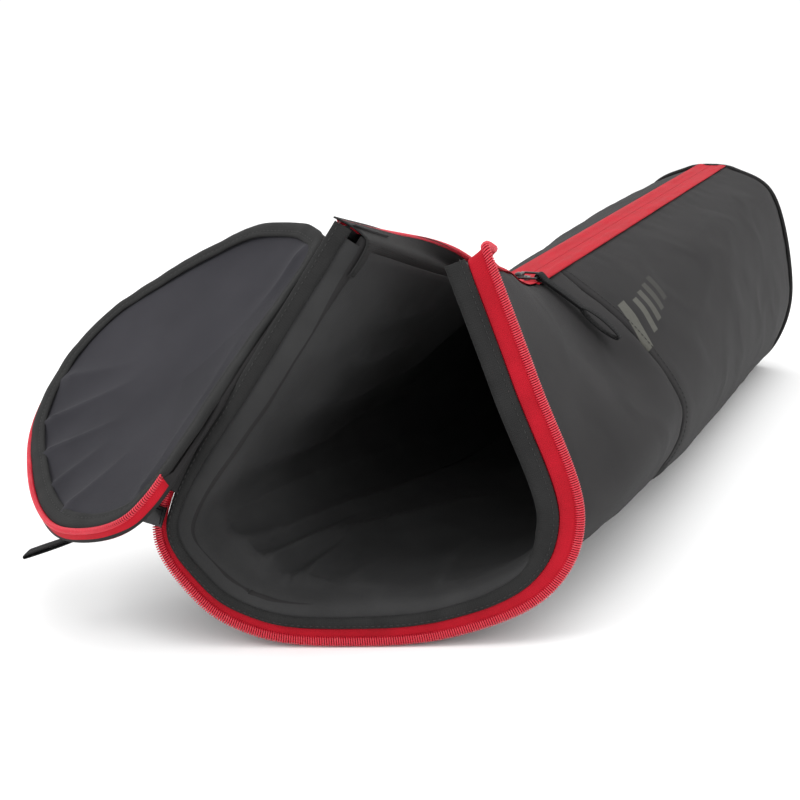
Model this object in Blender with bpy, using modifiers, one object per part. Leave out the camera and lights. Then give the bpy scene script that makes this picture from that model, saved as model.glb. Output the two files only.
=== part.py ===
"""A soft, padded carry case for a small telescope or tripod, lying on its base with its end flap unzipped.

Row frame: metres, +Z up, +Y along the bag from its mouth to its closed end, origin on the floor under the
middle of the bag. The case is a lofted tube of padded panels. One long zipper runs along its spine and round
its mouth, and the flap that closes the mouth hangs on the mouth's left edge.
"""

import math
from dataclasses import dataclass

import bmesh
import bpy
import numpy as np
from mathutils import Matrix, Vector

# ---------------------------------------------------------------- driving dimensions
MOUTH_Y = -0.437  # lowest point of the mouth
SLIDER_Y = -0.180  # where the open slit in the spine ends
SEAM_Y = -0.142  # cross seam between the head panels and the main panels
SHOULDER_Y = 0.385  # where the tube ends and the closed end begins
END_BULGE = 0.028  # how far the closed end swells past the shoulder
MOUTH_TURN = math.radians(27.0)  # the mouth plane is turned about Z
MOUTH_LEAN = math.radians(6.8)  # and leans back at the top

FABRIC = 0.0010  # outer fabric
FOAM = 0.0040  # padding
LINING = 0.0007  # inner fabric
GAP = 0.0004  # air between touching pieces
LAYER_GAP = 0.0008  # and between the layers of a padded panel
TAPE = 0.0008  # zipper tape thickness
COIL = 0.0030  # zipper coil height
BAND = 0.030  # both tapes of the closed spine
ZIP_SLOT = 0.0026  # gap between the two tapes, where the sliders' posts run
RIM_INSET = 0.014  # tape and coil that stand outside the mouth's seam
BINDING = 0.010  # width of the folded strip that covers a raw edge
WEBBING = 0.0018

# The mouth's outline at the zipper coil, in its own plane (across, up), from the slit's right corner round
# the right side, the base and the left side to the slit's left corner.
MOUTH_OUTLINE = (
    (0.076, 0.206), (0.101, 0.140), (0.126, 0.070), (0.108, 0.026), (0.056, 0.004), (0.0, 0.0),
    (-0.044, 0.005), (-0.078, 0.026), (-0.097, 0.070), (-0.052, 0.143), (-0.003, 0.221),
)
COIL_END, STRIP_START = 8.25, 8.44  # outline points where the mouth's zipper ends and its hinge begins
# The flap's free edge in the same plane when it is shut, from its top corner round to its lowest hinge corner.
FLAP_OUTLINE = (
    (0.014, 0.2175), (0.044, 0.210), (0.079, 0.186), (0.100, 0.149), (0.114, 0.112), (0.121, 0.078),
    (0.112, 0.046), (0.089, 0.020), (0.058, 0.005), (0.016, 0.001), (-0.020, 0.004), (-0.050, 0.014),
    (-0.075, 0.035), (-0.087, 0.056), (-0.083, 0.076),
)
FLAP_HINGE_EDGE = ((-0.0720, 0.0920), (0.0065, 0.2120))  # its straight side, set back from the hinge line
FLAP_MIDDLE = (0.012, 0.105)  # the point its edge is drawn in towards
FLAP_OPEN = math.radians(234.9)  # how far the flap is swung back from the closed mouth at rest
HINGE_LOW = (-0.0914, 0.0544, 0.0290)  # the flap's hinge line: across, up, in front of the mouth's plane
HINGE_HIGH = (-0.0105, 0.2214, -0.0157)
FLAP_BULGE = 0.010  # how far the flap's outer panel swells in the middle
FLAP_COIL_FRONT = 0.0042  # the shut flap's coil stands this far in front of the mouth
FLAP_SHELL_FRONT = 0.0122  # and its outer panel this far

SPINE_START, SPINE_END = 0.160, 0.211  # height of the straight spine at the slider and at the shoulder
SLIDER_LENGTH = 0.012
LUG_RISE = 0.0034  # height of the upper bail's pivot above the spine
LOWER_SLIDER_AT = 8.02  # outline point of the mouth's own slider
TOP_TAB_WIDTH, TOP_TAB_LENGTH = 0.010, 0.068
LOWER_TAB_WIDTH, LOWER_TAB_LENGTH = 0.010, 0.066
RING_WIRE, RING_WIDTH, RING_DEPTH = 0.0016, 0.028, 0.020  # strap rings
FRONT_RING = (-0.012, -0.386, 0.0058)  # middle of each strap ring's straight bar
REAR_RING = (0.0, 0.4187, 0.115)
TOP_TAB_DROP = math.radians(33)  # how steeply the top tab lies over the right shoulder
LOWER_TAB_WAY = (-0.900, -0.200, -0.385)  # which way the lower tab points


@dataclass(frozen=True)
class Station:
    """A cross-section of the closed tube: where it is, how wide and high, and how round its shoulders are."""

    y: float
    half_width: float
    height: float
    shoulder: tuple  # shoulder point, as shares of half_width and height
    base: float  # height of the underside


def spine_height(y):
    """Height of the closed spine, a straight rise to the closed end."""
    return SPINE_START + (SPINE_END - SPINE_START) * (y - SLIDER_Y) / (SHOULDER_Y - SLIDER_Y)


STATIONS = (
    Station(SLIDER_Y, 0.108, spine_height(SLIDER_Y), (0.62, 0.72), 0.008),
    Station(SEAM_Y, 0.106, spine_height(SEAM_Y), (0.65, 0.75), 0.006),
    Station(-0.03, 0.103, spine_height(-0.03), (0.69, 0.79), 0.0),
    Station(0.12, 0.098, spine_height(0.12), (0.72, 0.84), 0.0),
    Station(0.30, 0.093, spine_height(0.30), (0.73, 0.86), 0.0),
    Station(SHOULDER_Y, 0.090, spine_height(SHOULDER_Y), (0.73, 0.86), 0.0),
)
THROAT_Y = -0.300  # half way along the slit
RIGHT_EDGE, LEFT_EDGE = 3.6, 6.4  # where the side panels meet the base, in outline points
PANEL_GAP = 0.03  # half the gap between them
RIGHT = np.linspace(0.0, RIGHT_EDGE - PANEL_GAP, 9)
BASE = np.linspace(RIGHT_EDGE + PANEL_GAP, LEFT_EDGE - PANEL_GAP, 6)
LEFT = np.linspace(LEFT_EDGE + PANEL_GAP, 10.0, 9)


# ---------------------------------------------------------------- small helpers
def unit(v):
    """The vector at length 1."""
    return np.asarray(v, float) / np.linalg.norm(v)


def hermite(knots, points, at):
    """A smooth curve through points at the given knots, read at the values in at."""
    knots = np.asarray(knots, float)
    points = np.asarray(points, float)
    slopes = np.gradient(points, knots, axis=0)
    out = []
    for t in np.atleast_1d(at):
        i = int(np.clip(np.searchsorted(knots, t) - 1, 0, len(knots) - 2))
        h = knots[i + 1] - knots[i]
        s = (t - knots[i]) / h
        out.append(
            (2 * s**3 - 3 * s**2 + 1) * points[i]
            + (s**3 - 2 * s**2 + s) * h * slopes[i]
            + (3 * s**2 - 2 * s**3) * points[i + 1]
            + (s**3 - s**2) * h * slopes[i + 1]
        )
    return np.array(out)


def inset(outline, amount, centre):
    """An open outline in a plane, moved towards centre along its own normals."""
    outline = np.asarray(outline, float)
    tangent = np.gradient(outline, axis=0)
    normal = np.stack([-tangent[:, 1], tangent[:, 0]], axis=1)
    normal /= np.linalg.norm(normal, axis=1)[:, None]
    towards = np.sign(((np.asarray(centre) - outline) * normal).sum(1))
    return outline + normal * towards[:, None] * amount


# ---------------------------------------------------------------- the mouth's plane and the body's surface
MOUTH_ACROSS = np.array([math.cos(MOUTH_TURN), math.sin(MOUTH_TURN), 0.0])
MOUTH_LEVEL = np.array([math.sin(MOUTH_TURN), -math.cos(MOUTH_TURN), 0.0])
MOUTH_UP = math.cos(MOUTH_LEAN) * np.array([0, 0, 1.0]) - math.sin(MOUTH_LEAN) * MOUTH_LEVEL
MOUTH_OUT = unit(np.cross(MOUTH_ACROSS, MOUTH_UP))
MOUTH_OUT = MOUTH_OUT if MOUTH_OUT[1] < 0 else -MOUTH_OUT
MOUTH_ORIGIN = np.array([0.002, MOUTH_Y, 0.0])
MOUTH_MIDDLE = (0.014, 0.085)


def on_mouth(points, front=0.0):
    """Points of the mouth's plane (across, up) in the row frame, moved out of the mouth by front."""
    points = np.asarray(points, float)
    return MOUTH_ORIGIN + points[:, :1] * MOUTH_ACROSS + points[:, 1:] * MOUTH_UP + front * MOUTH_OUT


def mouth_line(amount, start=0.0, end=10.0, count=61):
    """The mouth's outline inset by amount, between two outline points, as points of its plane."""
    fine = hermite(range(11), MOUTH_OUTLINE, np.linspace(start, end, count))
    return inset(fine, amount, MOUTH_MIDDLE)


def station_row(s):
    """The eleven outline points of a closed cross-section, right side first."""
    half_band, base = BAND / 2, s.base
    wide, low = 0.42 * s.height, 0.14 * s.height
    right = [
        (half_band, s.height),
        (s.shoulder[0] * s.half_width, base + s.shoulder[1] * (s.height - base)),
        (s.half_width, base + wide),
        (0.88 * s.half_width, base + low),
        (0.55 * s.half_width, base),
        (0.0, base),
    ]
    both = right + [(-x, z) for x, z in right[-2::-1]]
    return np.array([(x, s.y, z) for x, z in both])


def body_net():
    """The rows of control points of the body's outer surface, and the knot of each row."""
    mouth = on_mouth(inset(MOUTH_OUTLINE, RIM_INSET, MOUTH_MIDDLE))
    mouth[:, 2] = np.maximum(mouth[:, 2], 0.012)
    rows = [station_row(s) for s in STATIONS]
    share = (THROAT_Y - MOUTH_Y) / (SLIDER_Y - MOUTH_Y)
    throat = (1 - share) * mouth + share * rows[0]
    throat[2:9, 0] *= 1.04
    return [MOUTH_Y, THROAT_Y] + [s.y for s in STATIONS], np.stack([mouth, throat] + rows)


KNOTS, NET = body_net()


def body_grid(around, along, depth=0.0):
    """Points of the body's surface for outline values around and knot values along, sunk inwards by depth."""
    def read(us, vs):
        rows = np.stack([hermite(range(11), row, us) for row in NET])
        grid = hermite(KNOTS, rows, vs)
        base = np.interp(vs, KNOTS, NET[:, 5, 2])
        grid[:, :, 2] = np.maximum(grid[:, :, 2], base[:, None])
        return grid

    step = 0.02
    around, along = np.asarray(around, float), np.asarray(along, float)
    grid = read(around, along)
    if depth == 0.0:
        return grid
    du = read(np.clip(around + step, 0, 10), along) - read(np.clip(around - step, 0, 10), along)
    dv = read(around, np.clip(along + step, KNOTS[0], KNOTS[-1])) - read(
        around, np.clip(along - step, KNOTS[0], KNOTS[-1])
    )
    normal = np.cross(du, dv)
    normal /= np.maximum(np.linalg.norm(normal, axis=2), 1e-12)[:, :, None]
    middle = grid.mean(axis=1, keepdims=True)
    facing = np.sign(((middle - grid) * normal).sum(axis=2))
    return grid + normal * facing[:, :, None] * depth


# ---------------------------------------------------------------- making objects
def collection(name):
    """A new collection in the scene."""
    made = bpy.data.collections.new(name)
    bpy.context.scene.collection.children.link(made)
    return made


def material(name, colour, roughness, metallic=0.0):
    """A Principled material in the part's own colour."""
    made = bpy.data.materials.new(name)
    made.use_nodes = True
    shader = made.node_tree.nodes["Principled BSDF"]
    shader.inputs["Base Color"].default_value = (*colour, 1.0)
    shader.inputs["Roughness"].default_value = roughness
    shader.inputs["Metallic"].default_value = metallic
    return made


def add(name, mesh, finish, parent=None):
    """A named object of the case, with its material."""
    made = bpy.data.objects.new(name, mesh)
    CASE.objects.link(made)
    mesh.materials.clear()
    mesh.materials.append(finish)
    if parent is not None:
        made.parent = parent
        made.matrix_parent_inverse = parent.matrix_world.inverted()
    return made


def sheet_mesh(grid, name, closed=False, capped=False):
    """An open surface through a grid of points, one row after another, with its last ring capped if asked."""
    rows, columns = grid.shape[:2]
    built = bmesh.new()
    verts = [[built.verts.new(Vector(p)) for p in row] for row in grid]
    for i in range(rows - 1):
        for j in range(columns if closed else columns - 1):
            k = (j + 1) % columns
            built.faces.new((verts[i][j], verts[i][k], verts[i + 1][k], verts[i + 1][j]))
    if capped:
        built.faces.new(verts[-1])
        bmesh.ops.recalc_face_normals(built, faces=built.faces)
    mesh = bpy.data.meshes.new(name)
    built.to_mesh(mesh)
    built.free()
    return mesh


def thicken(made, thickness, inner):
    """Solidify a sheet to its whole thickness, growing towards the point that inner gives for each face."""
    lean = sum((Vector(inner(f.center)) - f.center).dot(f.normal) * f.area for f in made.data.polygons)
    wall = made.modifiers.new("Wall", "SOLIDIFY")
    wall.thickness = thickness
    wall.offset = 1.0 if lean > 0 else -1.0
    return made


def body_axis(point):
    """The middle of the tube beside a point."""
    return (0.0, point[1], 0.09)


def body_sheet(name, finish, around, along, depth, thickness):
    """A panel of the body between outline values and knot values, at a depth below the outer surface."""
    grid = body_grid(around, along, depth)
    return thicken(add(name, sheet_mesh(grid, name), finish), thickness, body_axis)


def ribbon(name, finish, first, second, thickness, growth, parent=None, closed=False):
    """A flat strip between two rails of equal length, thickened along the direction growth."""
    grid = np.stack([np.asarray(first, float), np.asarray(second, float)])
    made = add(name, sheet_mesh(grid, name, closed), finish, parent)
    return thicken(made, thickness, lambda p: p + Vector(growth))


def rod(name, finish, points, radius, parent=None, cyclic=False):
    """A round cord, wire or coil along points."""
    curve = bpy.data.curves.new(name, "CURVE")
    curve.dimensions = "3D"
    curve.bevel_depth = radius
    curve.bevel_resolution = 2
    curve.use_fill_caps = not cyclic
    spline = curve.splines.new("POLY")
    spline.points.add(len(points) - 1)
    for slot, p in zip(spline.points, points):
        slot.co = (*p, 1.0)
    spline.use_cyclic_u = cyclic
    return add(name, curve, finish, parent)


def profile(name, finish, outlines, width, place, parent=None):
    """Flat outlines, the later ones being holes, extruded to a width about their plane and placed by a matrix."""
    curve = bpy.data.curves.new(name, "CURVE")
    curve.dimensions = "2D"
    curve.fill_mode = "BOTH"
    curve.extrude = width / 2
    for outline in outlines:
        spline = curve.splines.new("POLY")
        spline.points.add(len(outline) - 1)
        for slot, (x, y) in zip(spline.points, outline):
            slot.co = (x, y, 0.0, 1.0)
        spline.use_cyclic_u = True
    made = add(name, curve, finish)
    made.matrix_world = place
    if parent is not None:
        made.parent = parent
        made.matrix_parent_inverse = parent.matrix_world.inverted()
    return made


def placement(x_axis, z_axis, origin):
    """A placement with its Z along one direction and its X as near another as that allows."""
    z = Vector(z_axis).normalized()
    x = Vector(x_axis)
    x = (x - z * x.dot(z)).normalized()
    return Matrix.Translation(Vector(origin)) @ Matrix((x, z.cross(x), z)).transposed().to_4x4()


def pivot(name, origin):
    """An empty on a joint's axis."""
    made = bpy.data.objects.new(name, None)
    CASE.objects.link(made)
    made.location = Vector(origin)
    bpy.context.view_layer.update()
    return made


# ---------------------------------------------------------------- the padded body
def build_body():
    """Outer panels, padding, lining and the closed end."""
    seam = 0.0008
    head = np.linspace(KNOTS[0] + 0.004, SEAM_Y - seam, 8)
    main = np.linspace(SEAM_Y + seam, SHOULDER_Y, 10)
    # The padding and the lining stop short of the mouth's binding and of the closed end's own layers.
    whole = np.concatenate([head, main[1:]])
    padded = np.concatenate([[KNOTS[0] + 0.014], head[1:], main[1:-1], [SHOULDER_Y - 0.009]])

    body_sheet("head_panel_right", BLACK, RIGHT, head, 0.0, FABRIC)
    body_sheet("head_panel_left", BLACK, LEFT, head, 0.0, FABRIC)
    body_sheet("main_panel_right", BLACK, RIGHT, main, 0.0, FABRIC)
    body_sheet("main_panel_left", BLACK, LEFT, main, 0.0, FABRIC)
    body_sheet("base_panel", BLACK, BASE, whole, 0.0, FABRIC)

    under = FABRIC + LAYER_GAP
    body_sheet("foam_right", GREY, RIGHT[1:], padded, under, FOAM)
    body_sheet("foam_left", GREY, LEFT[:-1], padded, under, FOAM)
    body_sheet("foam_base", GREY, BASE, padded, under, FOAM)
    inside = under + FOAM + LAYER_GAP
    body_sheet("lining_body", LINED, np.concatenate([RIGHT[1:], BASE, LEFT[:-1]]), padded, inside, LINING)

    for name, finish, depth, wall in (
        ("end_panel", BLACK, 0.0, FABRIC),
        ("foam_end", GREY, under, FOAM),
        ("lining_end", LINED, inside, LINING),
    ):
        made = add(name, sheet_mesh(end_rings(depth), name, closed=True, capped=True), finish)
        thicken(made, wall, lambda p: (0.0, 0.0, 0.10))


def end_rings(depth):
    """Rings that run in from the shoulder's outline to the middle of the closed end."""
    ring = body_grid(np.concatenate([RIGHT, BASE, LEFT]), [SHOULDER_Y], depth)[0]
    middle = np.array([0.0, SHOULDER_Y, 0.105])
    rings = []
    for share in (1.0, 0.95, 0.82, 0.58, 0.22):
        row = middle + (ring - middle) * share
        row[:, 1] = SHOULDER_Y + 5 * GAP - 0.7 * depth + (END_BULGE - 0.35 * depth) * (1 - share**2.6)
        rings.append(row)
    return np.stack(rings)


# ---------------------------------------------------------------- the mouth, the slit and the spine
def build_mouth():
    """Zipper tape and coil, binding and hinge strip round the mouth."""
    coil_radius = COIL / 2
    tape_from, tape_to = COIL + GAP, RIM_INSET - 2 * GAP
    zipper = dict(start=0.0, end=COIL_END, count=52)
    rod("zip_coil_mouth", RED, on_mouth(mouth_line(coil_radius, **zipper), TAPE / 2), coil_radius)
    ribbon(
        "zip_tape_mouth", RED,
        on_mouth(mouth_line(tape_from, **zipper)), on_mouth(mouth_line(tape_to, **zipper)),
        TAPE, MOUTH_OUT,
    )
    strip = dict(start=STRIP_START, end=9.96, count=14)
    ribbon(
        "hinge_strip", BLACK,
        on_mouth(mouth_line(0.0075, **strip)), on_mouth(mouth_line(tape_to, **strip)),
        TAPE, MOUTH_OUT,
    )
    bound = dict(start=0.04, end=9.96, count=56)
    ribbon(
        "mouth_binding", TRIM,
        on_mouth(mouth_line(RIM_INSET - GAP, **bound), GAP),
        on_mouth(mouth_line(RIM_INSET - GAP + BINDING, **bound), GAP),
        FABRIC, MOUTH_OUT,
    )
    at = mouth_line(coil_radius, COIL_END + 0.03, COIL_END + 0.06, 2)
    tangent = on_mouth(at[1:])[0] - on_mouth(at[:1])[0]
    clip = [(-0.0019, -0.0019), (0.0019, -0.0019), (0.0019, 0.0019), (-0.0019, 0.0019)]
    profile(
        "zip_stop_mouth", METAL, [clip], 0.0022, placement(MOUTH_OUT, tangent, on_mouth(at[1:], TAPE / 2)[0])
    )


def slit_rail(side, along, reach):
    """The edge of the open slit on one side (0 right, 10 left), moved into the slit by reach."""
    edge = body_grid([side], along)[:, 0]
    corner = on_mouth([MOUTH_OUTLINE[0 if side == 0 else -1]])[0]
    first = unit(corner - body_grid([side], [KNOTS[0]])[0, 0])
    last = np.array([-1.0 if side == 0 else 1.0, 0.0, 0.0])
    share = ((edge[:, 1] - edge[0, 1]) / (SLIDER_Y - edge[0, 1]))[:, None]
    turn = (1 - share) * first + share * last
    turn /= np.linalg.norm(turn, axis=1)[:, None]
    return edge + turn * reach


def build_slit():
    """Tape and coil along both sides of the open part of the spine."""
    along = np.linspace(KNOTS[0] + 0.020, SLIDER_Y - SLIDER_LENGTH, 12)
    reach = BAND / 2 - ZIP_SLOT / 2
    for name, side in (("right", 0), ("left", 10)):
        ribbon(
            f"slit_tape_{name}", RED,
            slit_rail(side, along, 4 * GAP), slit_rail(side, along, reach - COIL - 2 * GAP),
            TAPE, (0, 0, -1),
        )
        rod(f"slit_coil_{name}", RED, slit_rail(side, along, reach - COIL / 2), COIL / 2)


def spine_point(x, y, drop=0.0):
    """A point on the spine, sunk by drop below its top."""
    return (x, y, spine_height(y) - drop)


def build_spine():
    """The two tapes of the closed spine, the coil halves under them and the stop at the closed end."""
    first, last = SLIDER_Y - SLIDER_LENGTH / 2, SHOULDER_Y - 0.002
    ends = np.linspace(first, last, 3)
    coil = COIL / 2 - 0.0003
    for name, way in (("right", 1), ("left", -1)):
        inner, outer = way * ZIP_SLOT / 2, way * (BAND / 2 - 2 * GAP)
        ribbon(
            f"spine_tape_{name}", RED,
            [spine_point(inner, y) for y in ends], [spine_point(outer, y) for y in ends],
            TAPE, (0, 0, -1),
        )
        offset = way * (ZIP_SLOT / 2 + 0.0002 + coil)
        line = [spine_point(offset, min(y, SHOULDER_Y - 0.014), TAPE + GAP + coil) for y in ends]
        rod(f"spine_coil_{name}", RED, line, coil)
    clip = [(-0.0045, -0.0014), (0.0045, -0.0014), (0.0045, -0.0004), (-0.0045, -0.0004)]
    profile(
        "zip_stop_spine", METAL, [clip], 0.003,
        placement((1, 0, 0), SPINE_WAY, spine_point(0, SHOULDER_Y - 0.006)),
    )


# ---------------------------------------------------------------- sliders and their pulls
def loop_outline(bar, wall, tail, low, high):
    """A webbing loop seen along its bar: the outline with its tail towards -X, and the bar's hole."""
    outer = bar + wall
    start = math.pi - math.asin(high / outer)
    finish = math.pi - math.asin(low / outer) - 2 * math.pi
    turn = [(outer * math.cos(a), outer * math.sin(a)) for a in np.linspace(start, finish, 17)]
    hole = [(bar * math.cos(a), bar * math.sin(a)) for a in np.linspace(0, 2 * math.pi, 12, endpoint=False)]
    return [[(-tail, low), (-tail, high)] + turn, hole]


def pull_ring(name, axis, outward, origin, half, depth, parent):
    """A wire bail whose two ends sit at the ends of a slider's lug, along axis, reaching outward."""
    axis, outward, origin = unit(axis), unit(outward), np.asarray(origin, float)
    wire = 0.0008
    arm = half + 2 * wire
    corners = [(-half, 0.0), (-arm, 0.0), (-arm, depth)]
    points = [origin + a * axis + d * outward for a, d in corners + [(-a, d) for a, d in corners[::-1]]]
    return rod(name, METAL, points, wire, parent)


def pull_tab(name, axis, outward, bar_at, length, width, parent):
    """A folded webbing tab that hangs on a bail's bar and reaches outward."""
    outline = loop_outline(0.0008 + GAP, WEBBING * 0.8, length, -WEBBING * 0.8, WEBBING * 0.8)
    return profile(name, WEB, outline, width, placement(-np.asarray(outward), axis, bar_at), parent)


def build_top_slider():
    """The slider on the spine, with its bail and its tab lying over the right shoulder."""
    top, bottom = GAP, TAPE + 2 * GAP + COIL
    plate, half, post, fin = 0.0013, 0.0048, 0.0009, 0.0036
    right = [
        (post, -top - fin), (post, -top - plate), (half, -top - plate), (half, -top),
        (post, -top), (post, bottom), (half, bottom), (half, bottom + plate),
    ]
    outline = right + [(-x, y) for x, y in right[::-1]]
    centre = spine_point(0.0, SLIDER_Y)
    rail = pivot("top_slider_pivot", centre)
    profile("top_slider", METAL, [outline], SLIDER_LENGTH, placement((1, 0, 0), SPINE_WAY, centre), rail)
    lug = np.array(centre) + LUG_RISE * SPINE_UP
    swing = pivot("top_pull_pivot", lug)
    reach = 0.0135
    pull_ring("top_pull_ring", SPINE_WAY, (1, 0, 0), lug, SLIDER_LENGTH / 2 + GAP, reach, swing)
    bar = lug + np.array([reach, 0, 0])
    hang = pivot("top_tab_pivot", bar)
    pull_tab("top_pull_tab", SPINE_WAY, TOP_TAB_WAY, bar, TOP_TAB_LENGTH, TOP_TAB_WIDTH, hang)


def build_lower_slider():
    """The slider at the lower end of the mouth's zipper, with its bail and its tab pointing away."""
    at = mouth_line(COIL / 2, LOWER_SLIDER_AT, LOWER_SLIDER_AT + 0.08, 2)
    centre, ahead = on_mouth(at, TAPE / 2)
    along = unit(ahead - centre)
    away = unit(np.cross(along, MOUTH_OUT))
    away = away if away[0] < 0 else -away
    room, plate, grip, lug = 0.0023, 0.0013, 0.0045, 0.0022
    wall = room + plate
    outline = [
        (-grip, -wall), (wall + lug, -wall), (wall + lug, wall), (-grip, wall),
        (-grip, room), (room, room), (room, -room), (-grip, -room),
    ]
    rail = pivot("lower_slider_pivot", centre)
    profile("lower_slider", METAL, [outline], SLIDER_LENGTH * 0.9, placement(away, along, centre), rail)
    way = unit(LOWER_TAB_WAY)
    axis = unit(MOUTH_OUT - way * (MOUTH_OUT @ way))
    hinge = centre + away * (wall + 0.0008)
    reach = 0.0125
    swing = pivot("lower_pull_pivot", hinge)
    pull_ring("lower_pull_ring", axis, way, hinge, wall + 0.0012, reach, swing)
    bar = hinge + reach * way
    hang = pivot("lower_tab_pivot", bar)
    pull_tab("lower_pull_tab", axis, way, bar, LOWER_TAB_LENGTH, LOWER_TAB_WIDTH, hang)


# ---------------------------------------------------------------- the flap
def flap_loop(amount):
    """The flap's whole edge in the mouth's plane, drawn in towards its middle by amount: points, free count."""
    free = hermite(range(len(FLAP_OUTLINE)), FLAP_OUTLINE, np.linspace(0, len(FLAP_OUTLINE) - 1, 36))
    free[:, 1] = np.maximum(free[:, 1], 0.0008)
    low, high = np.array(FLAP_HINGE_EDGE)
    hinge = low + (high - low) * np.linspace(0, 1, 8)[:, None]
    loop = np.vstack([free, hinge])
    middle = np.array(FLAP_MIDDLE)
    away = loop - middle
    return loop - away / np.linalg.norm(away, axis=1)[:, None] * amount, len(free)


def on_flap(points, front):
    """Points of the shut flap (across, up), a height in front of the mouth, swung to the flap's rest pose."""
    shut = on_mouth(points)
    shut += np.asarray(front, float).reshape(-1, 1) * MOUTH_OUT
    pose = np.array(Matrix.Rotation(-FLAP_OPEN, 3, Vector(HINGE_WAY)))
    return HINGE_POINT + (shut - HINGE_POINT) @ pose.T


def flap_dome(name, finish, amount, front, wall, hinge):
    """A domed sheet of the flap inside its edge by amount, with its rim at front."""
    loop, _ = flap_loop(amount)
    middle = np.array(FLAP_MIDDLE)
    rings = []
    for share in (1.0, 0.90, 0.68, 0.40, 0.14):
        row = middle + (loop - middle) * share
        rings.append(on_flap(row, np.full(len(row), front + FLAP_BULGE * (1 - share**2.2))))
    made = add(name, sheet_mesh(np.stack(rings), name, closed=True, capped=True), finish, hinge)
    return thicken(made, wall, lambda p: p + Vector(FLAP_OUT))


def build_flap():
    """Outer panel, padding, lining, binding, tape and coil of the flap, all on the hinge line."""
    hinge = pivot("flap_pivot", HINGE_POINT)
    flap_dome("flap_shell", BLACK, 0.0, FLAP_SHELL_FRONT, FABRIC, hinge)
    flap_dome("foam_flap", GREY, 0.0042, FLAP_SHELL_FRONT - LAYER_GAP - FOAM, FOAM, hinge)
    lining_front = FLAP_SHELL_FRONT - 2 * LAYER_GAP - FOAM - LINING
    flap_dome("lining_flap", LINED, 0.0034, lining_front, LINING, hinge)
    outer, _ = flap_loop(0.0038)
    inner, _ = flap_loop(0.0038 + BINDING)
    ribbon(
        "flap_binding", TRIM, on_flap(outer, lining_front - 2 * GAP - FABRIC),
        on_flap(inner, lining_front - 2 * GAP - FABRIC), FABRIC, FLAP_OUT, hinge, closed=True,
    )
    edge, free = flap_loop(0.0010)
    low, high = FLAP_COIL_FRONT + COIL / 2 + GAP, FLAP_SHELL_FRONT - GAP
    inward = on_flap([FLAP_MIDDLE], 0.0)[0]
    for name, finish, part in (
        ("zip_tape_flap", RED, edge[:free]),
        ("flap_hinge_wall", BLACK, edge[free:]),
    ):
        grid = np.stack([on_flap(part, low), on_flap(part, high)])
        thicken(add(name, sheet_mesh(grid, name), finish, hinge), TAPE, lambda p: inward)
    line, free = flap_loop(COIL / 2)
    rod("zip_coil_flap", RED, on_flap(line[:free], FLAP_COIL_FRONT), COIL / 2, hinge)


# ---------------------------------------------------------------- strap rings
def ring_points(bar, way):
    """The closed line of a strap ring from its straight bar, reaching along way."""
    bar, way = np.asarray(bar, float), unit(way)
    half = RING_WIDTH / 2
    line = [(-half, 0.0), (-half / 3, 0.0), (half / 3, 0.0), (half, 0.0)]
    line += [
        (half * math.cos(a), 0.003 + (RING_DEPTH - 0.003) * math.sin(a)) for a in np.linspace(0, math.pi, 13)
    ]
    return [bar + np.array([x, 0, 0]) + d * way for x, d in line]


def build_strap_rings():
    """A webbing loop with its ring under the mouth's lip, and another on the closed end."""
    hole = RING_WIRE + GAP
    rise = hole + WEBBING
    outline = loop_outline(hole, WEBBING, 0.028, rise - WEBBING, rise)
    for name, bar, way, panel in (
        ("front", FRONT_RING, (0, 1, 0), (0, 0, 1)),
        ("rear", REAR_RING, (0, 0, -1), (0, -1, 0)),
    ):
        profile(
            f"{name}_strap_loop", WEB, outline, 0.022, placement(way, np.cross(way, panel), bar)
        )
        swing = pivot(f"{name}_ring_pivot", bar)
        rod(f"{name}_strap_ring", METAL, ring_points(bar, way), RING_WIRE, swing, cyclic=True)


# ---------------------------------------------------------------- start
for old in list(bpy.data.objects):
    bpy.data.objects.remove(old)

SPINE_WAY = unit((0.0, SHOULDER_Y - SLIDER_Y, SPINE_END - SPINE_START))
SPINE_UP = unit((0.0, -(SPINE_END - SPINE_START), SHOULDER_Y - SLIDER_Y))
TOP_TAB_WAY = (math.cos(TOP_TAB_DROP), 0.0, -math.sin(TOP_TAB_DROP))
HINGE_POINT = on_mouth([HINGE_LOW[:2]], HINGE_LOW[2])[0]
HINGE_WAY = unit(on_mouth([HINGE_HIGH[:2]], HINGE_HIGH[2])[0] - HINGE_POINT)
FLAP_OUT = np.array(Matrix.Rotation(-FLAP_OPEN, 3, Vector(HINGE_WAY))) @ MOUTH_OUT

CASE = collection("telescope_carry_case")
BLACK = material("outer_fabric", (0.030, 0.030, 0.032), 0.75)
GREY = material("padding", (0.16, 0.16, 0.17), 0.9)
LINED = material("lining_fabric", (0.045, 0.045, 0.050), 0.7)
RED = material("zipper_red", (0.62, 0.02, 0.05), 0.55)
TRIM = material("binding_tape", (0.045, 0.045, 0.048), 0.7)
METAL = material("slider_metal", (0.05, 0.05, 0.05), 0.35, 0.9)
WEB = material("webbing", (0.02, 0.02, 0.022), 0.8)

build_body()
build_mouth()
build_slit()
build_spine()
build_top_slider()
build_lower_slider()
build_flap()
build_strap_rings()
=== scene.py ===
"""The finished look of a soft, padded carry case for a small telescope, lying with its end flap folded back.

Everything is in metres, with +Z up and +Y from the mouth to the closed end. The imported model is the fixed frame,
and the cloth, zipper, trims and metal parts made here follow its lines.
"""

import logging
import math
from collections.abc import Callable, Sequence
from dataclasses import dataclass, field
from enum import Enum
from typing import Any

import bmesh
import bpy
import numpy as np
from mathutils import Matrix, Vector, noise

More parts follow.
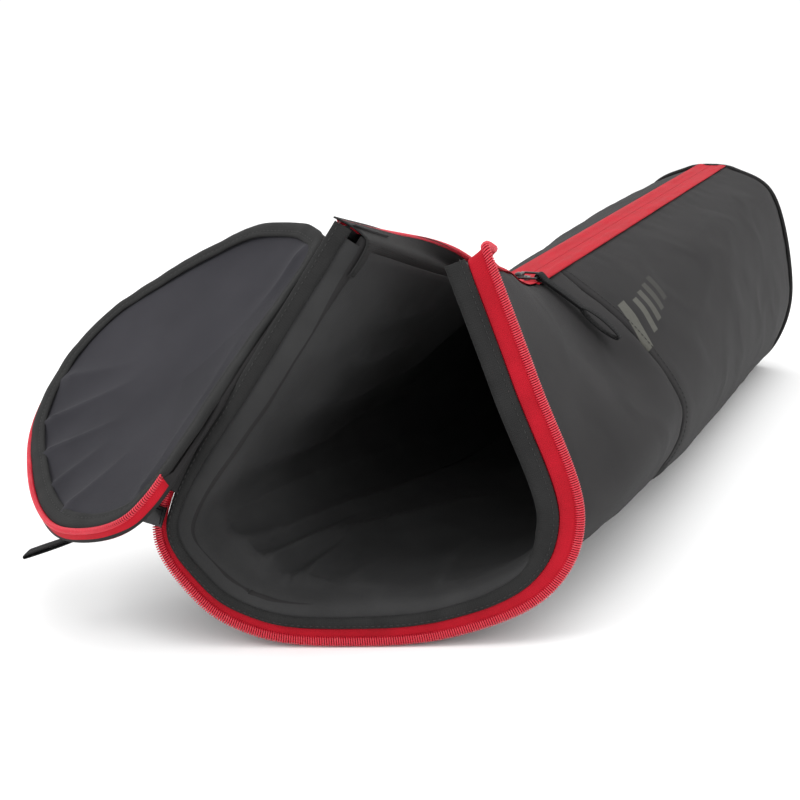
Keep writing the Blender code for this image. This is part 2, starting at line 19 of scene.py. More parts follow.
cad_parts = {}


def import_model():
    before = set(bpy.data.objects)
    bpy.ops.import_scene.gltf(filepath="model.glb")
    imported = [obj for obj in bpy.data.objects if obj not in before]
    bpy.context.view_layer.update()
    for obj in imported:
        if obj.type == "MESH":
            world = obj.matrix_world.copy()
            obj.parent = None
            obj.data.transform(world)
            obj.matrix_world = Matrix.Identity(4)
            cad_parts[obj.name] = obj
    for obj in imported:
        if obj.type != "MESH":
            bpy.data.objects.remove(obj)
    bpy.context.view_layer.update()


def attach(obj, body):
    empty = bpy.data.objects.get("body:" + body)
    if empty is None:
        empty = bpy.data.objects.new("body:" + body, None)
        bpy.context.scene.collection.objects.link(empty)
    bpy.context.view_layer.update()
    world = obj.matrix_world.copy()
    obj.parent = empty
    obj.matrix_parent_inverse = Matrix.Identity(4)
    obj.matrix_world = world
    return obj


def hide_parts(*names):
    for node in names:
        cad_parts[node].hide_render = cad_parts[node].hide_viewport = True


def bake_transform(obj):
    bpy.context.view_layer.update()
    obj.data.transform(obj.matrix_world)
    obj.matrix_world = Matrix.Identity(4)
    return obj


log = logging.getLogger("carry_case")

LINING_WALL = 0.0006
BINDING_WALL = 0.0009
FINE_STITCH = (0.0011, 0.00026, 0.0002)  # length, width and height of a stitch on a binding
TOPSTITCH = (0.0013, 0.00028, 0.00022)
TAB_STITCH = (0.0008, 0.00030, 0.00022)
BOX_STITCH = (0.0009, 0.00030, 0.00022)
CORD_RADIUS = 0.0008  # the cord inside a coil, and the wire of a bail
RING_RADIUS = 0.0016
TAB_DROP = math.radians(33.0)
WEBBING_THICK = 0.0011
CLEAR_OF_FLOOR = 0.0002
CLOTH_SHINE = 0.13
LUG_RISE = 0.0034  # height of the upper bail's pivot above the spine
LOWER_SLIDER_AT = (-0.086524, -0.473154, 0.070265)
LOWER_SLIDER_WAY = (0.225169, 0.241068, 0.944026)
LOWER_BAIL_HINGE = (-0.090325, -0.474909, 0.071620)
LOWER_BAIL_AXIS = (0.211571, -0.977275, 0.013093)
LOWER_BAIL_WAY = (-0.900, -0.200, -0.385)
FRONT_RING_BAR = (-0.012, -0.386, 0.0058)
REAR_RING_BAR = (0.0, 0.4187, 0.115)
RING_HALF_WIDTH = 0.014
RING_NECK, RING_BOW = 0.003, 0.017  # how far the ring's sides run straight, and how far its bow reaches on
LOOP_OUT = 0.0029  # from the ring's bar to the middle of the webbing round it
VIEW_TURN, VIEW_TILT = math.radians(26.1), math.radians(13.5)


class Body(Enum):
    """The moving bodies of the case."""

    CASE = "case"
    FLAP = "flap"
    TOP_SLIDER = "top_slider_body"
    TOP_BAIL = "top_pull_body"
    TOP_TAB = "top_tab_body"
    LOWER_SLIDER = "lower_slider_body"
    LOWER_BAIL = "lower_pull_body"
    LOWER_TAB = "lower_tab_body"
    FRONT_RING = "front_ring_body"
    REAR_RING = "rear_ring_body"


class Slot(Enum):
    """The record's material slots."""

    OUTER = "outer_fabric"
    LINING = "lining_fabric"
    ZIPPER = "zipper_red"
    BINDING = "binding_tape"
    METAL = "slider_metal"
    WEBBING = "webbing"


class Side(Enum):
    """The two sides of the open slit, by the outline value of each one's edge."""

    RIGHT = 0.0
    LEFT = 10.0


# ------------------------------------------------------------------------------------------------ lines and surfaces
def unit(v: Sequence[float]) -> np.ndarray:
    """The vector at length 1."""
    return np.asarray(v, float) / np.linalg.norm(v)


def smooth_through(knots: Sequence[float], points: np.ndarray, at: Sequence[float]) -> np.ndarray:
    """A smooth curve through points.

    Args:
        knots: The value at each point, rising.
        points: The points, one to a knot; each may itself be an array.
        at: The values to read the curve at.

    Returns:
        The curve's points, one for each value.
    """
    knots, points = np.asarray(knots, float), np.asarray(points, float)
    at = np.atleast_1d(np.asarray(at, float))
    slopes = np.gradient(points, knots, axis=0)
    i = np.clip(np.searchsorted(knots, at) - 1, 0, len(knots) - 2)
    shape = (-1,) + (1,) * (points.ndim - 1)
    h = (knots[i + 1] - knots[i]).reshape(shape)
    s = ((at - knots[i]).reshape(shape)) / h
    return (
        (2 * s**3 - 3 * s**2 + 1) * points[i]
        + (s**3 - 2 * s**2 + s) * h * slopes[i]
        + (3 * s**2 - 2 * s**3) * points[i + 1]
        + (s**3 - s**2) * h * slopes[i + 1]
    )


def drawn_in(outline: np.ndarray, amount: float | np.ndarray, centre: Sequence[float]) -> np.ndarray:
    """An open outline in a plane, moved towards a centre along its own normals.

    Args:
        outline: Points (across, up).
        amount: How far, in metres, for all or for each.
        centre: The point it moves towards.

    Returns:
        The moved points.
    """
    outline = np.asarray(outline, float)
    tangent = np.gradient(outline, axis=0)
    normal = np.stack([-tangent[:, 1], tangent[:, 0]], axis=1)
    normal /= np.linalg.norm(normal, axis=1)[:, None]
    towards = np.sign(((np.asarray(centre) - outline) * normal).sum(1))
    return outline + normal * towards[:, None] * np.reshape(amount, (-1, 1))


def lengths(points: np.ndarray) -> np.ndarray:
    """How far along its line each point lies."""
    steps = np.linalg.norm(np.diff(points, axis=0), axis=-1)
    return np.concatenate([np.zeros((1,) + steps.shape[1:]), np.cumsum(steps, axis=0)])


def evenly(points: np.ndarray, count: int, guide: np.ndarray | None = None) -> np.ndarray:
    """A line, or several lines side by side, read at even steps.

    Args:
        points: The points, with further axes kept as they are.
        count: How many points to return.
        guide: The line whose length counts, if not the points themselves.

    Returns:
        The same line with count points.
    """
    along = lengths(points if guide is None else guide)
    at = np.linspace(0.0, along[-1], count)
    flat = points.reshape(len(points), -1)
    read = np.stack([np.interp(at, along, flat[:, k]) for k in range(flat.shape[1])], axis=1)
    return read.reshape((count,) + points.shape[1:])


def relaxed(points: np.ndarray, passes: int, closed: bool = False) -> np.ndarray:
    """A line with its corners eased by averaging each point with its neighbours."""
    line = points.copy()
    for _ in range(passes):
        if closed:
            line = (np.roll(line, 1, axis=0) + 2 * line + np.roll(line, -1, axis=0)) / 4
        else:
            line[1:-1] = (line[:-2] + 2 * line[1:-1] + line[2:]) / 4
    return line


def ripple(points: np.ndarray, scale: Sequence[float], seed: float, octaves: int = 2) -> np.ndarray:
    """Smooth, repeatable unevenness.

    Args:
        points: Points, in any arrangement with three numbers at the end.
        scale: How many bumps to a metre along X, Y and Z.
        seed: Moves the pattern.
        octaves: How many finer layers it has.

    Returns:
        A value near 0 for each point, mostly within -1 and 1.
    """
    flat = points.reshape(-1, 3) * np.asarray(scale, float) + seed
    value = [noise.fractal(Vector(p), 1.0, 2.1, octaves) for p in flat]
    return np.array(value).reshape(points.shape[:-1])


@dataclass(frozen=True)
class Station:
    """A cross-section of the closed tube."""

    y: float
    half_width: float
    shoulder_out: float
    shoulder_up: float
    base: float


@dataclass
class CaseForm:
    """The case's own lines: the plane of its mouth, the skin of its tube, and its flap."""

    mouth_y: float = -0.437
    throat_y: float = -0.300
    slider_y: float = -0.180
    seam_y: float = -0.142
    shoulder_y: float = 0.385
    end_bulge: float = 0.028
    mouth_turn: float = math.radians(27.0)
    mouth_lean: float = math.radians(6.8)
    rim: float = 0.014
    band: float = 0.030
    spine_low: float = 0.160
    spine_high: float = 0.211
    middle: tuple[float, float] = (0.014, 0.085)
    flap_middle: tuple[float, float] = (0.012, 0.105)
    flap_open: float = math.radians(234.9)
    flap_bulge: float = 0.010
    hinge_low: tuple[float, float, float] = (-0.0914, 0.0544, 0.0290)
    hinge_high: tuple[float, float, float] = (-0.0105, 0.2214, -0.0157)
    outline: tuple[tuple[float, float], ...] = (
        (0.076, 0.206), (0.101, 0.140), (0.126, 0.070), (0.108, 0.026), (0.056, 0.004), (0.0, 0.0),
        (-0.044, 0.005), (-0.078, 0.026), (-0.097, 0.070), (-0.052, 0.143), (-0.003, 0.221),
    )  # fmt: skip
    flap_outline: tuple[tuple[float, float], ...] = (
        (0.014, 0.2175), (0.044, 0.210), (0.079, 0.186), (0.100, 0.149), (0.114, 0.112), (0.121, 0.078),
        (0.112, 0.046), (0.089, 0.020), (0.058, 0.005), (0.016, 0.001), (-0.020, 0.004), (-0.050, 0.014),
        (-0.075, 0.035), (-0.087, 0.056), (-0.083, 0.076),
    )  # fmt: skip
    flap_hinge_edge: tuple[tuple[float, float], ...] = ((-0.0720, 0.0920), (0.0065, 0.2120))
    stations: tuple[Station, ...] = (
        Station(-0.180, 0.108, 0.62, 0.72, 0.008),
        Station(-0.142, 0.106, 0.65, 0.75, 0.006),
        Station(-0.030, 0.103, 0.69, 0.79, 0.0),
        Station(0.120, 0.098, 0.72, 0.84, 0.0),
        Station(0.300, 0.093, 0.73, 0.86, 0.0),
        Station(0.385, 0.090, 0.73, 0.86, 0.0),
    )
    knots: list[float] = field(init=False)
    net: np.ndarray = field(init=False)

    def __post_init__(self) -> None:
        """Works out the mouth's axes, the flap's swing and the tube's control points."""
        turn, lean = self.mouth_turn, self.mouth_lean
        self.across = np.array([math.cos(turn), math.sin(turn), 0.0])
        level = np.array([math.sin(turn), -math.cos(turn), 0.0])
        self.up = math.cos(lean) * np.array([0.0, 0.0, 1.0]) - math.sin(lean) * level
        out = unit(np.cross(self.across, self.up))
        self.out = out if out[1] < 0 else -out
        self.origin = np.array([0.002, self.mouth_y, 0.0])
        self.hinge_point = self.on_mouth([self.hinge_low[:2]], self.hinge_low[2])[0]
        self.hinge_way = unit(self.on_mouth([self.hinge_high[:2]], self.hinge_high[2])[0] - self.hinge_point)
        self.swing = np.array(Matrix.Rotation(-self.flap_open, 3, Vector(self.hinge_way)))
        self.flap_out = self.swing @ self.out
        self.spine_way = unit((0.0, self.shoulder_y - self.slider_y, self.spine_high - self.spine_low))
        self.spine_up = unit((0.0, -(self.spine_high - self.spine_low), self.shoulder_y - self.slider_y))

        mouth = self.on_mouth(drawn_in(self.outline, self.rim, self.middle))
        mouth[:, 2] = np.maximum(mouth[:, 2], 0.012)
        rows = [self.station_row(s) for s in self.stations]
        share = (self.throat_y - self.mouth_y) / (self.slider_y - self.mouth_y)
        throat = (1 - share) * mouth + share * rows[0]
        throat[2:9, 0] *= 1.04
        self.knots = [self.mouth_y, self.throat_y] + [s.y for s in self.stations]
        self.net = np.stack([mouth, throat] + rows)

    def spine_height(self, y: float) -> float:
        """Height of the closed spine."""
        share = (y - self.slider_y) / (self.shoulder_y - self.slider_y)
        return self.spine_low + (self.spine_high - self.spine_low) * share

    def station_row(self, s: Station) -> np.ndarray:
        """The eleven outline points of a closed cross-section, right side first."""
        height = self.spine_height(s.y)
        right = [
            (self.band / 2, height),
            (s.shoulder_out * s.half_width, s.base + s.shoulder_up * (height - s.base)),
            (s.half_width, s.base + 0.42 * height),
            (0.88 * s.half_width, s.base + 0.14 * height),
            (0.55 * s.half_width, s.base),
            (0.0, s.base),
        ]
        both = right + [(-x, z) for x, z in right[-2::-1]]
        return np.array([(x, s.y, z) for x, z in both])

    def on_mouth(self, points: Sequence[Sequence[float]], front: float | np.ndarray = 0.0) -> np.ndarray:
        """Points of the mouth's plane in the row frame.

        Args:
            points: Points (across, up).
            front: How far out of the mouth, for all or for each.

        Returns:
            The points in space.
        """
        points = np.asarray(points, float)
        front = np.asarray(front, float).reshape(-1, 1)
        return self.origin + points[:, :1] * self.across + points[:, 1:] * self.up + front * self.out

    def read(self, around: np.ndarray, along: np.ndarray) -> np.ndarray:
        """The tube's skin at outline values around and lengthwise values along."""
        rows = np.stack([smooth_through(range(11), row, around) for row in self.net])
        grid = smooth_through(self.knots, rows, along)
        base = np.interp(along, self.knots, self.net[:, 5, 2])
        grid[:, :, 2] = np.maximum(grid[:, :, 2], base[:, None])
        return grid

    def skin(self, around: Sequence[float], along: Sequence[float]) -> tuple[np.ndarray, np.ndarray]:
        """The tube's skin and the way in from it.

        Args:
            around: Outline values, 0 at the spine's right edge to 10 at its left edge.
            along: Lengthwise values.

        Returns:
            Points, and unit vectors that point into the tube.
        """
        step = 0.02
        around, along = np.asarray(around, float), np.asarray(along, float)
        grid = self.read(around, along)
        du = self.read(np.clip(around + step, 0, 10), along) - self.read(np.clip(around - step, 0, 10), along)
        low, high = self.knots[0], self.knots[-1]
        dv = self.read(around, np.clip(along + step, low, high)) - self.read(
            around, np.clip(along - step, low, high)
        )
        normal = np.cross(du, dv)
        normal /= np.maximum(np.linalg.norm(normal, axis=2), 1e-12)[:, :, None]
        return grid, -normal

    def slit_rail(self, side: Side, along: np.ndarray, reach: float) -> np.ndarray:
        """The edge of the open slit on one side, moved into the slit by reach."""
        edge = self.read(np.array([side.value]), along)[:, 0]
        corner = self.on_mouth([self.outline[0 if side is Side.RIGHT else -1]])[0]
        first = unit(corner - self.read(np.array([side.value]), np.array([self.mouth_y]))[0, 0])
        last = np.array([-1.0 if side is Side.RIGHT else 1.0, 0.0, 0.0])
        start = self.read(np.array([side.value]), np.array([self.mouth_y]))[0, 0, 1]
        share = np.clip((edge[:, 1] - start) / (self.slider_y - start), 0, 1)[:, None]
        share = share**0.55 if side is Side.RIGHT else share
        turn = (1 - share) * first + share * last
        turn /= np.linalg.norm(turn, axis=1)[:, None]
        return edge + turn * reach

    def flap_loop(self, amount: float | np.ndarray, free: int = 200, hinge: int = 44) -> np.ndarray:
        """The flap's whole edge in the mouth's plane, drawn in towards its middle by amount."""
        line = smooth_through(
            range(len(self.flap_outline)), self.flap_outline, np.linspace(0, len(self.flap_outline) - 1, free)
        )
        line[:, 1] = np.maximum(line[:, 1], 0.0008)
        low, high = np.array(self.flap_hinge_edge)
        straight = low + (high - low) * np.linspace(0.0, 1.0, hinge)[:, None]
        loop = relaxed(np.vstack([line, straight]), 6, closed=True)
        away = loop - np.array(self.flap_middle)
        return loop - away / np.linalg.norm(away, axis=1)[:, None] * np.reshape(amount, (-1, 1))

    def on_flap(self, points: np.ndarray, front: float | np.ndarray) -> np.ndarray:
        """Points of the shut flap and their height in front of the mouth, swung open to the rest pose."""
        shut = self.on_mouth(points, front)
        return self.hinge_point + (shut - self.hinge_point) @ self.swing.T


FORM = CaseForm()


# ------------------------------------------------------------------------------------------------ shader expressions
class Signal:
    """A number that changes over a surface, written as an expression."""

    def __init__(self, paint: "Paint", socket: bpy.types.NodeSocket) -> None:
        """Wraps a node's output socket."""
        self.paint, self.socket = paint, socket

    def using(self, operation: str, *others: Any) -> "Signal":
        """A Math node on this number and others."""
        return self.paint.maths(operation, self, *others)

    def __add__(self, other: Any) -> "Signal":
        """Sum."""
        return self.using("ADD", other)

    __radd__ = __add__

    def __sub__(self, other: Any) -> "Signal":
        """Difference."""
        return self.using("SUBTRACT", other)

    def __rsub__(self, other: Any) -> "Signal":
        """Difference from a plain number."""
        return self.paint.maths("SUBTRACT", other, self)

    def __mul__(self, other: Any) -> "Signal":
        """Product."""
        return self.using("MULTIPLY", other)

    __rmul__ = __mul__

    def __truediv__(self, other: Any) -> "Signal":
        """Quotient."""
        return self.using("DIVIDE", other)

    def __rtruediv__(self, other: Any) -> "Signal":
        """A plain number divided by this one."""
        return self.paint.maths("DIVIDE", other, self)

    def __pow__(self, other: Any) -> "Signal":
        """Power."""
        return self.using("POWER", other)

    def sine(self) -> "Signal":
        """Sine."""
        return self.using("SINE")

    def eased(self, low: float, high: float) -> "Signal":
        """Rises smoothly from 0 at low to 1 at high."""
        node = self.paint.node(
            "ShaderNodeMapRange", {"interpolation_type": "SMOOTHSTEP"}, {
                "Value": self, "From Min": low, "From Max": high,
            }
        )
        return Signal(self.paint, node.outputs["Result"])


class Paint:
    """The node tree of one material, as it is being written."""

    def __init__(self, name: str) -> None:
        """Starts a material with a Principled shader."""
        self.material = bpy.data.materials.new(name)
        self.material.use_nodes = True
        self.tree = self.material.node_tree
        self.shader = self.tree.nodes["Principled BSDF"]

    def node(
        self,
        kind: str,
        settings: dict[str, Any] | None = None,
        inputs: dict[Any, Any] | None = None,
    ) -> bpy.types.Node:
        """Adds a node.

        Args:
            kind: The node's type.
            settings: Its own properties, set first.
            inputs: Values or links of its sockets, by name or number.

        Returns:
            The node.
        """
        made = self.tree.nodes.new(kind)
        for key, value in (settings or {}).items():
            if key == "stops":
                ramp = made.color_ramp
                while len(ramp.elements) < len(value):
                    ramp.elements.new(0.5)
                for element, (place, colour) in zip(ramp.elements, value):
                    element.position, element.color = place, (*colour, 1.0)
            else:
                setattr(made, key, value)
        for key, value in (inputs or {}).items():
            self.feed(made.inputs[key], value)
        return made

    def feed(self, socket: bpy.types.NodeSocket, value: Any) -> None:
        """Links a signal or an output to a socket, or sets the socket's own value."""
        if isinstance(value, Signal):
            self.tree.links.new(value.socket, socket)
        elif isinstance(value, bpy.types.NodeSocket):
            self.tree.links.new(value, socket)
        elif isinstance(value, tuple) and socket.type == "RGBA":
            socket.default_value = (*value, 1.0)
        else:
            socket.default_value = value

    def maths(self, operation: str, *values: Any) -> Signal:
        """A Math node on numbers and signals."""
        made = self.node("ShaderNodeMath", {"operation": operation}, dict(enumerate(values)))
        return Signal(self, made.outputs[0])

    def place(self) -> bpy.types.NodeSocket:
        """Object coordinates, in metres."""
        return self.node("ShaderNodeTexCoord").outputs["Object"]

    def weave(self) -> tuple[Signal, Signal]:
        """The cloth's own coordinates across and along, in metres."""
        split = self.node(
            "ShaderNodeSeparateXYZ", inputs={0: self.node("ShaderNodeUVMap", {"uv_map": "cloth"}).outputs[0]},
        )
        return Signal(self, split.outputs[0]), Signal(self, split.outputs[1])

    def mottle(self, scale: float, detail: float = 2.0, where: bpy.types.NodeSocket | None = None) -> Signal:
        """Noise between 0 and 1 with so many bumps to a metre."""
        made = self.node(
            "ShaderNodeTexNoise",
            inputs={"Vector": where or self.place(), "Scale": scale, "Detail": detail, "Roughness": 0.55},
        )
        return Signal(self, made.outputs["Fac"])

    def mixed(self, share: Any, first: Any, second: Any) -> bpy.types.NodeSocket:
        """A colour between two, by a share."""
        made = self.node("ShaderNodeMix", {"data_type": "RGBA"}, {0: share, 6: first, 7: second})
        return made.outputs[2]

    def bump(self, height: Signal, depth: float) -> None:
        """Raises the surface by height times depth, in metres, in shading only."""
        made = self.node("ShaderNodeBump", inputs={"Height": height, "Strength": 1.0, "Distance": depth})
        self.feed(self.shader.inputs["Normal"], made.outputs["Normal"])

    def dress(self, **sockets: Any) -> bpy.types.Material:
        """Sets the shader's sockets by name, with underscores for spaces, and returns the material."""
        for name, value in sockets.items():
            self.feed(self.shader.inputs[name.replace("_", " ").title().replace("Ior", "IOR")], value)
        return self.material


Colour = tuple[float, float, float]


@dataclass(frozen=True)
class PlainCloth:
    """A plain-woven polyester: the outer cloth and the lining."""

    name: str
    colour: Colour
    worn: Colour
    roughness: float
    thread: float
    depth: float
    sheen: float
    printed: bool = False

    def material(self) -> bpy.types.Material:
        """Builds the cloth: crossing threads, a cloudy tone and a soft sheen."""
        paint = Paint(self.name)
        across, along = paint.weave()
        turn = 2 * math.pi / self.thread
        warp, weft = (across * turn).sine(), (along * turn).sine()
        threads = warp * weft * 0.5 + 0.5
        cloud = paint.mottle(22.0, 3.0)
        grain = paint.mottle(900.0, 2.0)
        tone = cloud.eased(0.30, 0.72) * 0.55 + grain * 0.30 + threads * 0.15
        colour = paint.mixed(tone, self.colour, self.worn)
        rough = self.roughness + (cloud - 0.5) * 0.12
        if self.printed:
            mark = self.marks(paint, across, along)
            colour = paint.mixed(mark * 0.85, colour, (0.088, 0.087, 0.074))
            rough = rough - mark * 0.22
        paint.bump(threads * 0.6 + grain * 0.8 + cloud * 2.0, self.depth)
        return paint.dress(
            base_color=colour,
            roughness=rough,
            sheen_weight=self.sheen,
            sheen_roughness=0.45,
            specular_ior_level=CLOTH_SHINE,
        )

    def marks(self, paint: Paint, across: Signal, along: Signal) -> Signal:
        """A printed row of slanted bars on the right main panel."""
        total: Any = 0.0
        for start, width, low, high, ink in (
            (0.012, 0.013, 0.046, 0.084, 1.0),
            (0.034, 0.009, 0.050, 0.078, 0.9),
            (0.050, 0.009, 0.048, 0.074, 0.7),
            (0.066, 0.009, 0.046, 0.070, 0.45),
            (0.082, 0.009, 0.044, 0.066, 0.28),
        ):
            lean = along + (across - low) * 0.42 - start
            inside = lean.eased(0.0, 0.0006) * (1 - lean.eased(width - 0.0006, width))
            inside = inside * across.eased(low, low + 0.0006) * (1 - across.eased(high - 0.0006, high))
            total = inside * ink + total
        return total * (0.75 + paint.mottle(420.0) * 0.4)


@dataclass(frozen=True)
class RibbedTape:
    """A narrow woven tape, ribbed across its length: zipper tape, binding and webbing."""

    name: str
    colour: Colour
    shade: Colour
    roughness: float
    rib: float
    depth: float
    sheen: float

    def material(self) -> bpy.types.Material:
        """Builds the tape: ribs across it, finer threads along it and a cloudy tone."""
        paint = Paint(self.name)
        across, along = paint.weave()
        ribs = (along * (2 * math.pi / self.rib)).sine() * 0.5 + 0.5
        threads = (across * (2 * math.pi / (self.rib * 0.8))).sine() * 0.5 + 0.5
        cloud = paint.mottle(60.0, 3.0)
        grain = paint.mottle(1400.0, 2.0)
        tone = ribs * threads * 0.35 + cloud.eased(0.3, 0.7) * 0.4 + grain * 0.25
        paint.bump(ribs * 0.6 + threads * 0.4 + grain * 0.7, self.depth)
        return paint.dress(
            base_color=paint.mixed(tone, self.shade, self.colour),
            roughness=self.roughness + (cloud - 0.5) * 0.15,
            sheen_weight=self.sheen,
            sheen_roughness=0.4,
            specular_ior_level=CLOTH_SHINE,
        )


@dataclass(frozen=True)
class Solid:
    """A hard or thread finish in one colour: coil, metal and stitching."""

    name: str
    colour: Colour
    edge: Colour
    roughness: float
    metallic: float = 0.0
    coat: float = 0.0
    grain: float = 700.0

    def material(self) -> bpy.types.Material:
        """Builds the finish: a fine grain, and a second tone where it is rubbed."""
        paint = Paint(self.name)
        cloud, grain = paint.mottle(150.0, 3.0), paint.mottle(self.grain, 3.0)
        rubbed = cloud.eased(0.52, 0.75) * 0.6 + grain * 0.25
        paint.bump(grain, 0.00008)
        return paint.dress(
            base_color=paint.mixed(rubbed, self.colour, self.edge),
            roughness=self.roughness + (grain - 0.5) * 0.15,
            metallic=self.metallic,
            coat_weight=self.coat,
        )


class Looks:
    """Every finish of the case, each built once."""

    def __init__(self) -> None:
        """Builds the materials."""
        outer = dict(
            colour=(0.014, 0.0134, 0.014),
            worn=(0.025, 0.0238, 0.0242),
            roughness=0.74,
            thread=0.0011,
            depth=0.00012,
            sheen=0.02,
        )
        self.outer = PlainCloth("outer_cloth", **outer).material()
        self.printed = PlainCloth("outer_cloth_printed", printed=True, **outer).material()
        # The tube's lining and the flap's lining are one cloth in two tones. Both hold the cloth's own dark grey, and
        # the difference between them is painted light. The copy inside the tube is lighter, against the shade there.
        # The flap's copy, out in the open light, is darker and bluer.
        self.lining = PlainCloth(
            "lining_cloth", (0.024, 0.024, 0.0245), (0.040, 0.040, 0.0405), 0.76, 0.0009, 0.00012, 0.02,
        ).material()
        self.flap_lining = PlainCloth(
            "flap_lining_cloth", (0.021, 0.0205, 0.025), (0.034, 0.033, 0.039), 0.76, 0.0009, 0.00012, 0.03,
        ).material()
        self.binding = RibbedTape(
            "binding_tape_weave", (0.026, 0.026, 0.026), (0.014, 0.014, 0.014), 0.76, 0.0012, 0.00016, 0.03,
        ).material()
        self.red_tape = RibbedTape(
            "red_zip_tape", (0.50, 0.008, 0.022), (0.34, 0.004, 0.012), 0.66, 0.0011, 0.00014, 0.02,
        ).material()
        self.webbing = RibbedTape(
            "black_webbing", (0.012, 0.012, 0.0125), (0.005, 0.005, 0.0055), 0.76, 0.0016, 0.0003, 0.02,
        ).material()
        self.coil = Solid("red_zip_coil", (0.58, 0.014, 0.036), (0.74, 0.060, 0.085), 0.34).material()
        # The cord is a darker red than the coil: painted shade in the gaps between the coil's turns.
        self.cord_painted_shade = Solid("red_zip_cord_painted_shade", (0.24, 0.004, 0.012), (0.36, 0.012, 0.022), 0.6).material()
        self.dark_thread = Solid("dark_thread", (0.012, 0.012, 0.012), (0.022, 0.022, 0.022), 0.6).material()
        self.grey_thread = Solid("grey_thread", (0.055, 0.055, 0.056), (0.085, 0.085, 0.086), 0.55).material()
        self.red_thread = Solid("red_thread", (0.55, 0.015, 0.035), (0.70, 0.05, 0.07), 0.5).material()
        self.metal = Solid(
            "gunmetal", (0.016, 0.016, 0.017), (0.060, 0.058, 0.056), 0.32, 0.75, 0.3, 2500.0,
        ).material()
        self.floor = self.pale_floor()

    def pale_floor(self) -> bpy.types.Material:
        """A plain, pale studio floor."""
        paint = Paint("pale_floor")
        tone = paint.mottle(3.0)
        return paint.dress(
            base_color=paint.mixed(tone, (0.96, 0.96, 0.96), (0.97, 0.97, 0.97)),
            roughness=1.0,
            specular_ior_level=0.0,
        )


# ------------------------------------------------------------------------------------------------ making pieces
def link(
    name: str,
    data: bpy.types.ID,
    look: bpy.types.Material,
    body: Body,
    nodes: Sequence[str] = (),
) -> bpy.types.Object:
    """Puts a finished piece in the scene, on its body.

    Args:
        name: The piece's name.
        data: Its mesh or curve, in place.
        look: Its material.
        body: The body it moves with.
        nodes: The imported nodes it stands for.

    Returns:
        The piece.
    """
    piece = bpy.data.objects.new(name, data)
    bpy.context.scene.collection.objects.link(piece)
    data.materials.clear()
    data.materials.append(look)
    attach(piece, body.value)
    if nodes:
        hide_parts(*nodes)
    log.info("%s on %s", name, body.value)
    return piece


def to_mesh(name: str, built: bmesh.types.BMesh, smooth: bool = True) -> bpy.types.Mesh:
    """Turns a bmesh into a mesh and frees it."""
    for face in built.faces:
        face.smooth = smooth
    mesh = bpy.data.meshes.new(name)
    built.to_mesh(mesh)
    built.free()
    return mesh


def cloth_grid(rows: np.ndarray) -> bmesh.types.BMesh:
    """A flat grid moved onto rows of points, with its own coordinates in metres.

    Args:
        rows: Points, rows × columns × 3. Equal first and last columns, or a row in one point, are welded.

    Returns:
        The bmesh, with a UV layer named cloth.
    """
    count, width = rows.shape[:2]
    u = lengths(rows.transpose(1, 0, 2)).T
    v = np.repeat(lengths(rows).mean(axis=1)[:, None], width, axis=1)
    built = bmesh.new()
    bmesh.ops.create_grid(built, x_segments=width - 1, y_segments=count - 1, size=1.0)
    place = {
        vert: (round((vert.co.y + 1) / 2 * (count - 1)), round((vert.co.x + 1) / 2 * (width - 1)))
        for vert in built.verts
    }
    layer = built.loops.layers.uv.new("cloth")
    for face in built.faces:
        for loop in face.loops:
            i, j = place[loop.vert]
            loop[layer].uv = (u[i, j], v[i, j])
    for vert, (i, j) in place.items():
        vert.co = rows[i, j]
    bmesh.ops.remove_doubles(built, verts=built.verts, dist=1e-6)
    return built


def cloth(name: str, rows: np.ndarray, inside: Callable[[Vector], Vector]) -> bpy.types.Mesh:
    """A sheet through rows of points whose faces point away from the place that inside gives for each."""
    built = cloth_grid(rows)
    built.normal_update()
    lean = sum(
        (f.calc_center_median() - inside(f.calc_center_median())).dot(f.normal) * f.calc_area() for f in built.faces
    )
    if lean < 0:
        bmesh.ops.reverse_faces(built, faces=built.faces)
    return to_mesh(name, built)


def swept(
    name: str,
    section: np.ndarray,
    centres: np.ndarray,
    wide: np.ndarray,
    proud: np.ndarray,
    closed: bool = False,
    stretch: float | np.ndarray = 1.0,
) -> bpy.types.Mesh:
    """A closed section carried along a line.

    Args:
        name: The mesh's name.
        section: Points (wide, proud), in order round it.
        centres: The line.
        wide: The section's first direction, at each point.
        proud: Its second.
        closed: Whether the line ends where it starts.
        stretch: How much wider the section is, for all or at each point.

    Returns:
        The mesh, closed and facing outwards.
    """
    ring = np.vstack([section, section[:1]])
    wide = wide * np.reshape(stretch, (-1, 1))
    rows = centres[:, None] + ring[None, :, :1] * wide[:, None] + ring[None, :, 1:] * proud[:, None]
    if closed:
        rows = np.concatenate([rows, rows[:1]])
    built = cloth_grid(rows)
    if not closed:
        bmesh.ops.holes_fill(built, edges=[e for e in built.edges if e.is_boundary], sides=0)
    bmesh.ops.recalc_face_normals(built, faces=built.faces)
    if built.calc_volume(signed=True) < 0:
        bmesh.ops.reverse_faces(built, faces=built.faces)
    return to_mesh(name, built)


def tape_section(width: float, thickness: float, cup: float = 0.0, sides: int = 7) -> np.ndarray:
    """The rounded section of a flat tape, cupped by so much in its middle."""
    at = np.cos(np.linspace(math.pi, 0.0, sides))
    belly = np.sqrt(np.maximum(1 - np.abs(at) ** 6, 0.0))
    lift = cup * (1 - at**2)
    top = np.stack([at * width / 2, lift + belly * thickness / 2], axis=1)
    bottom = np.stack([at * width / 2, lift - belly * thickness / 2], axis=1)[::-1]
    return np.vstack([top, bottom[1:-1]])


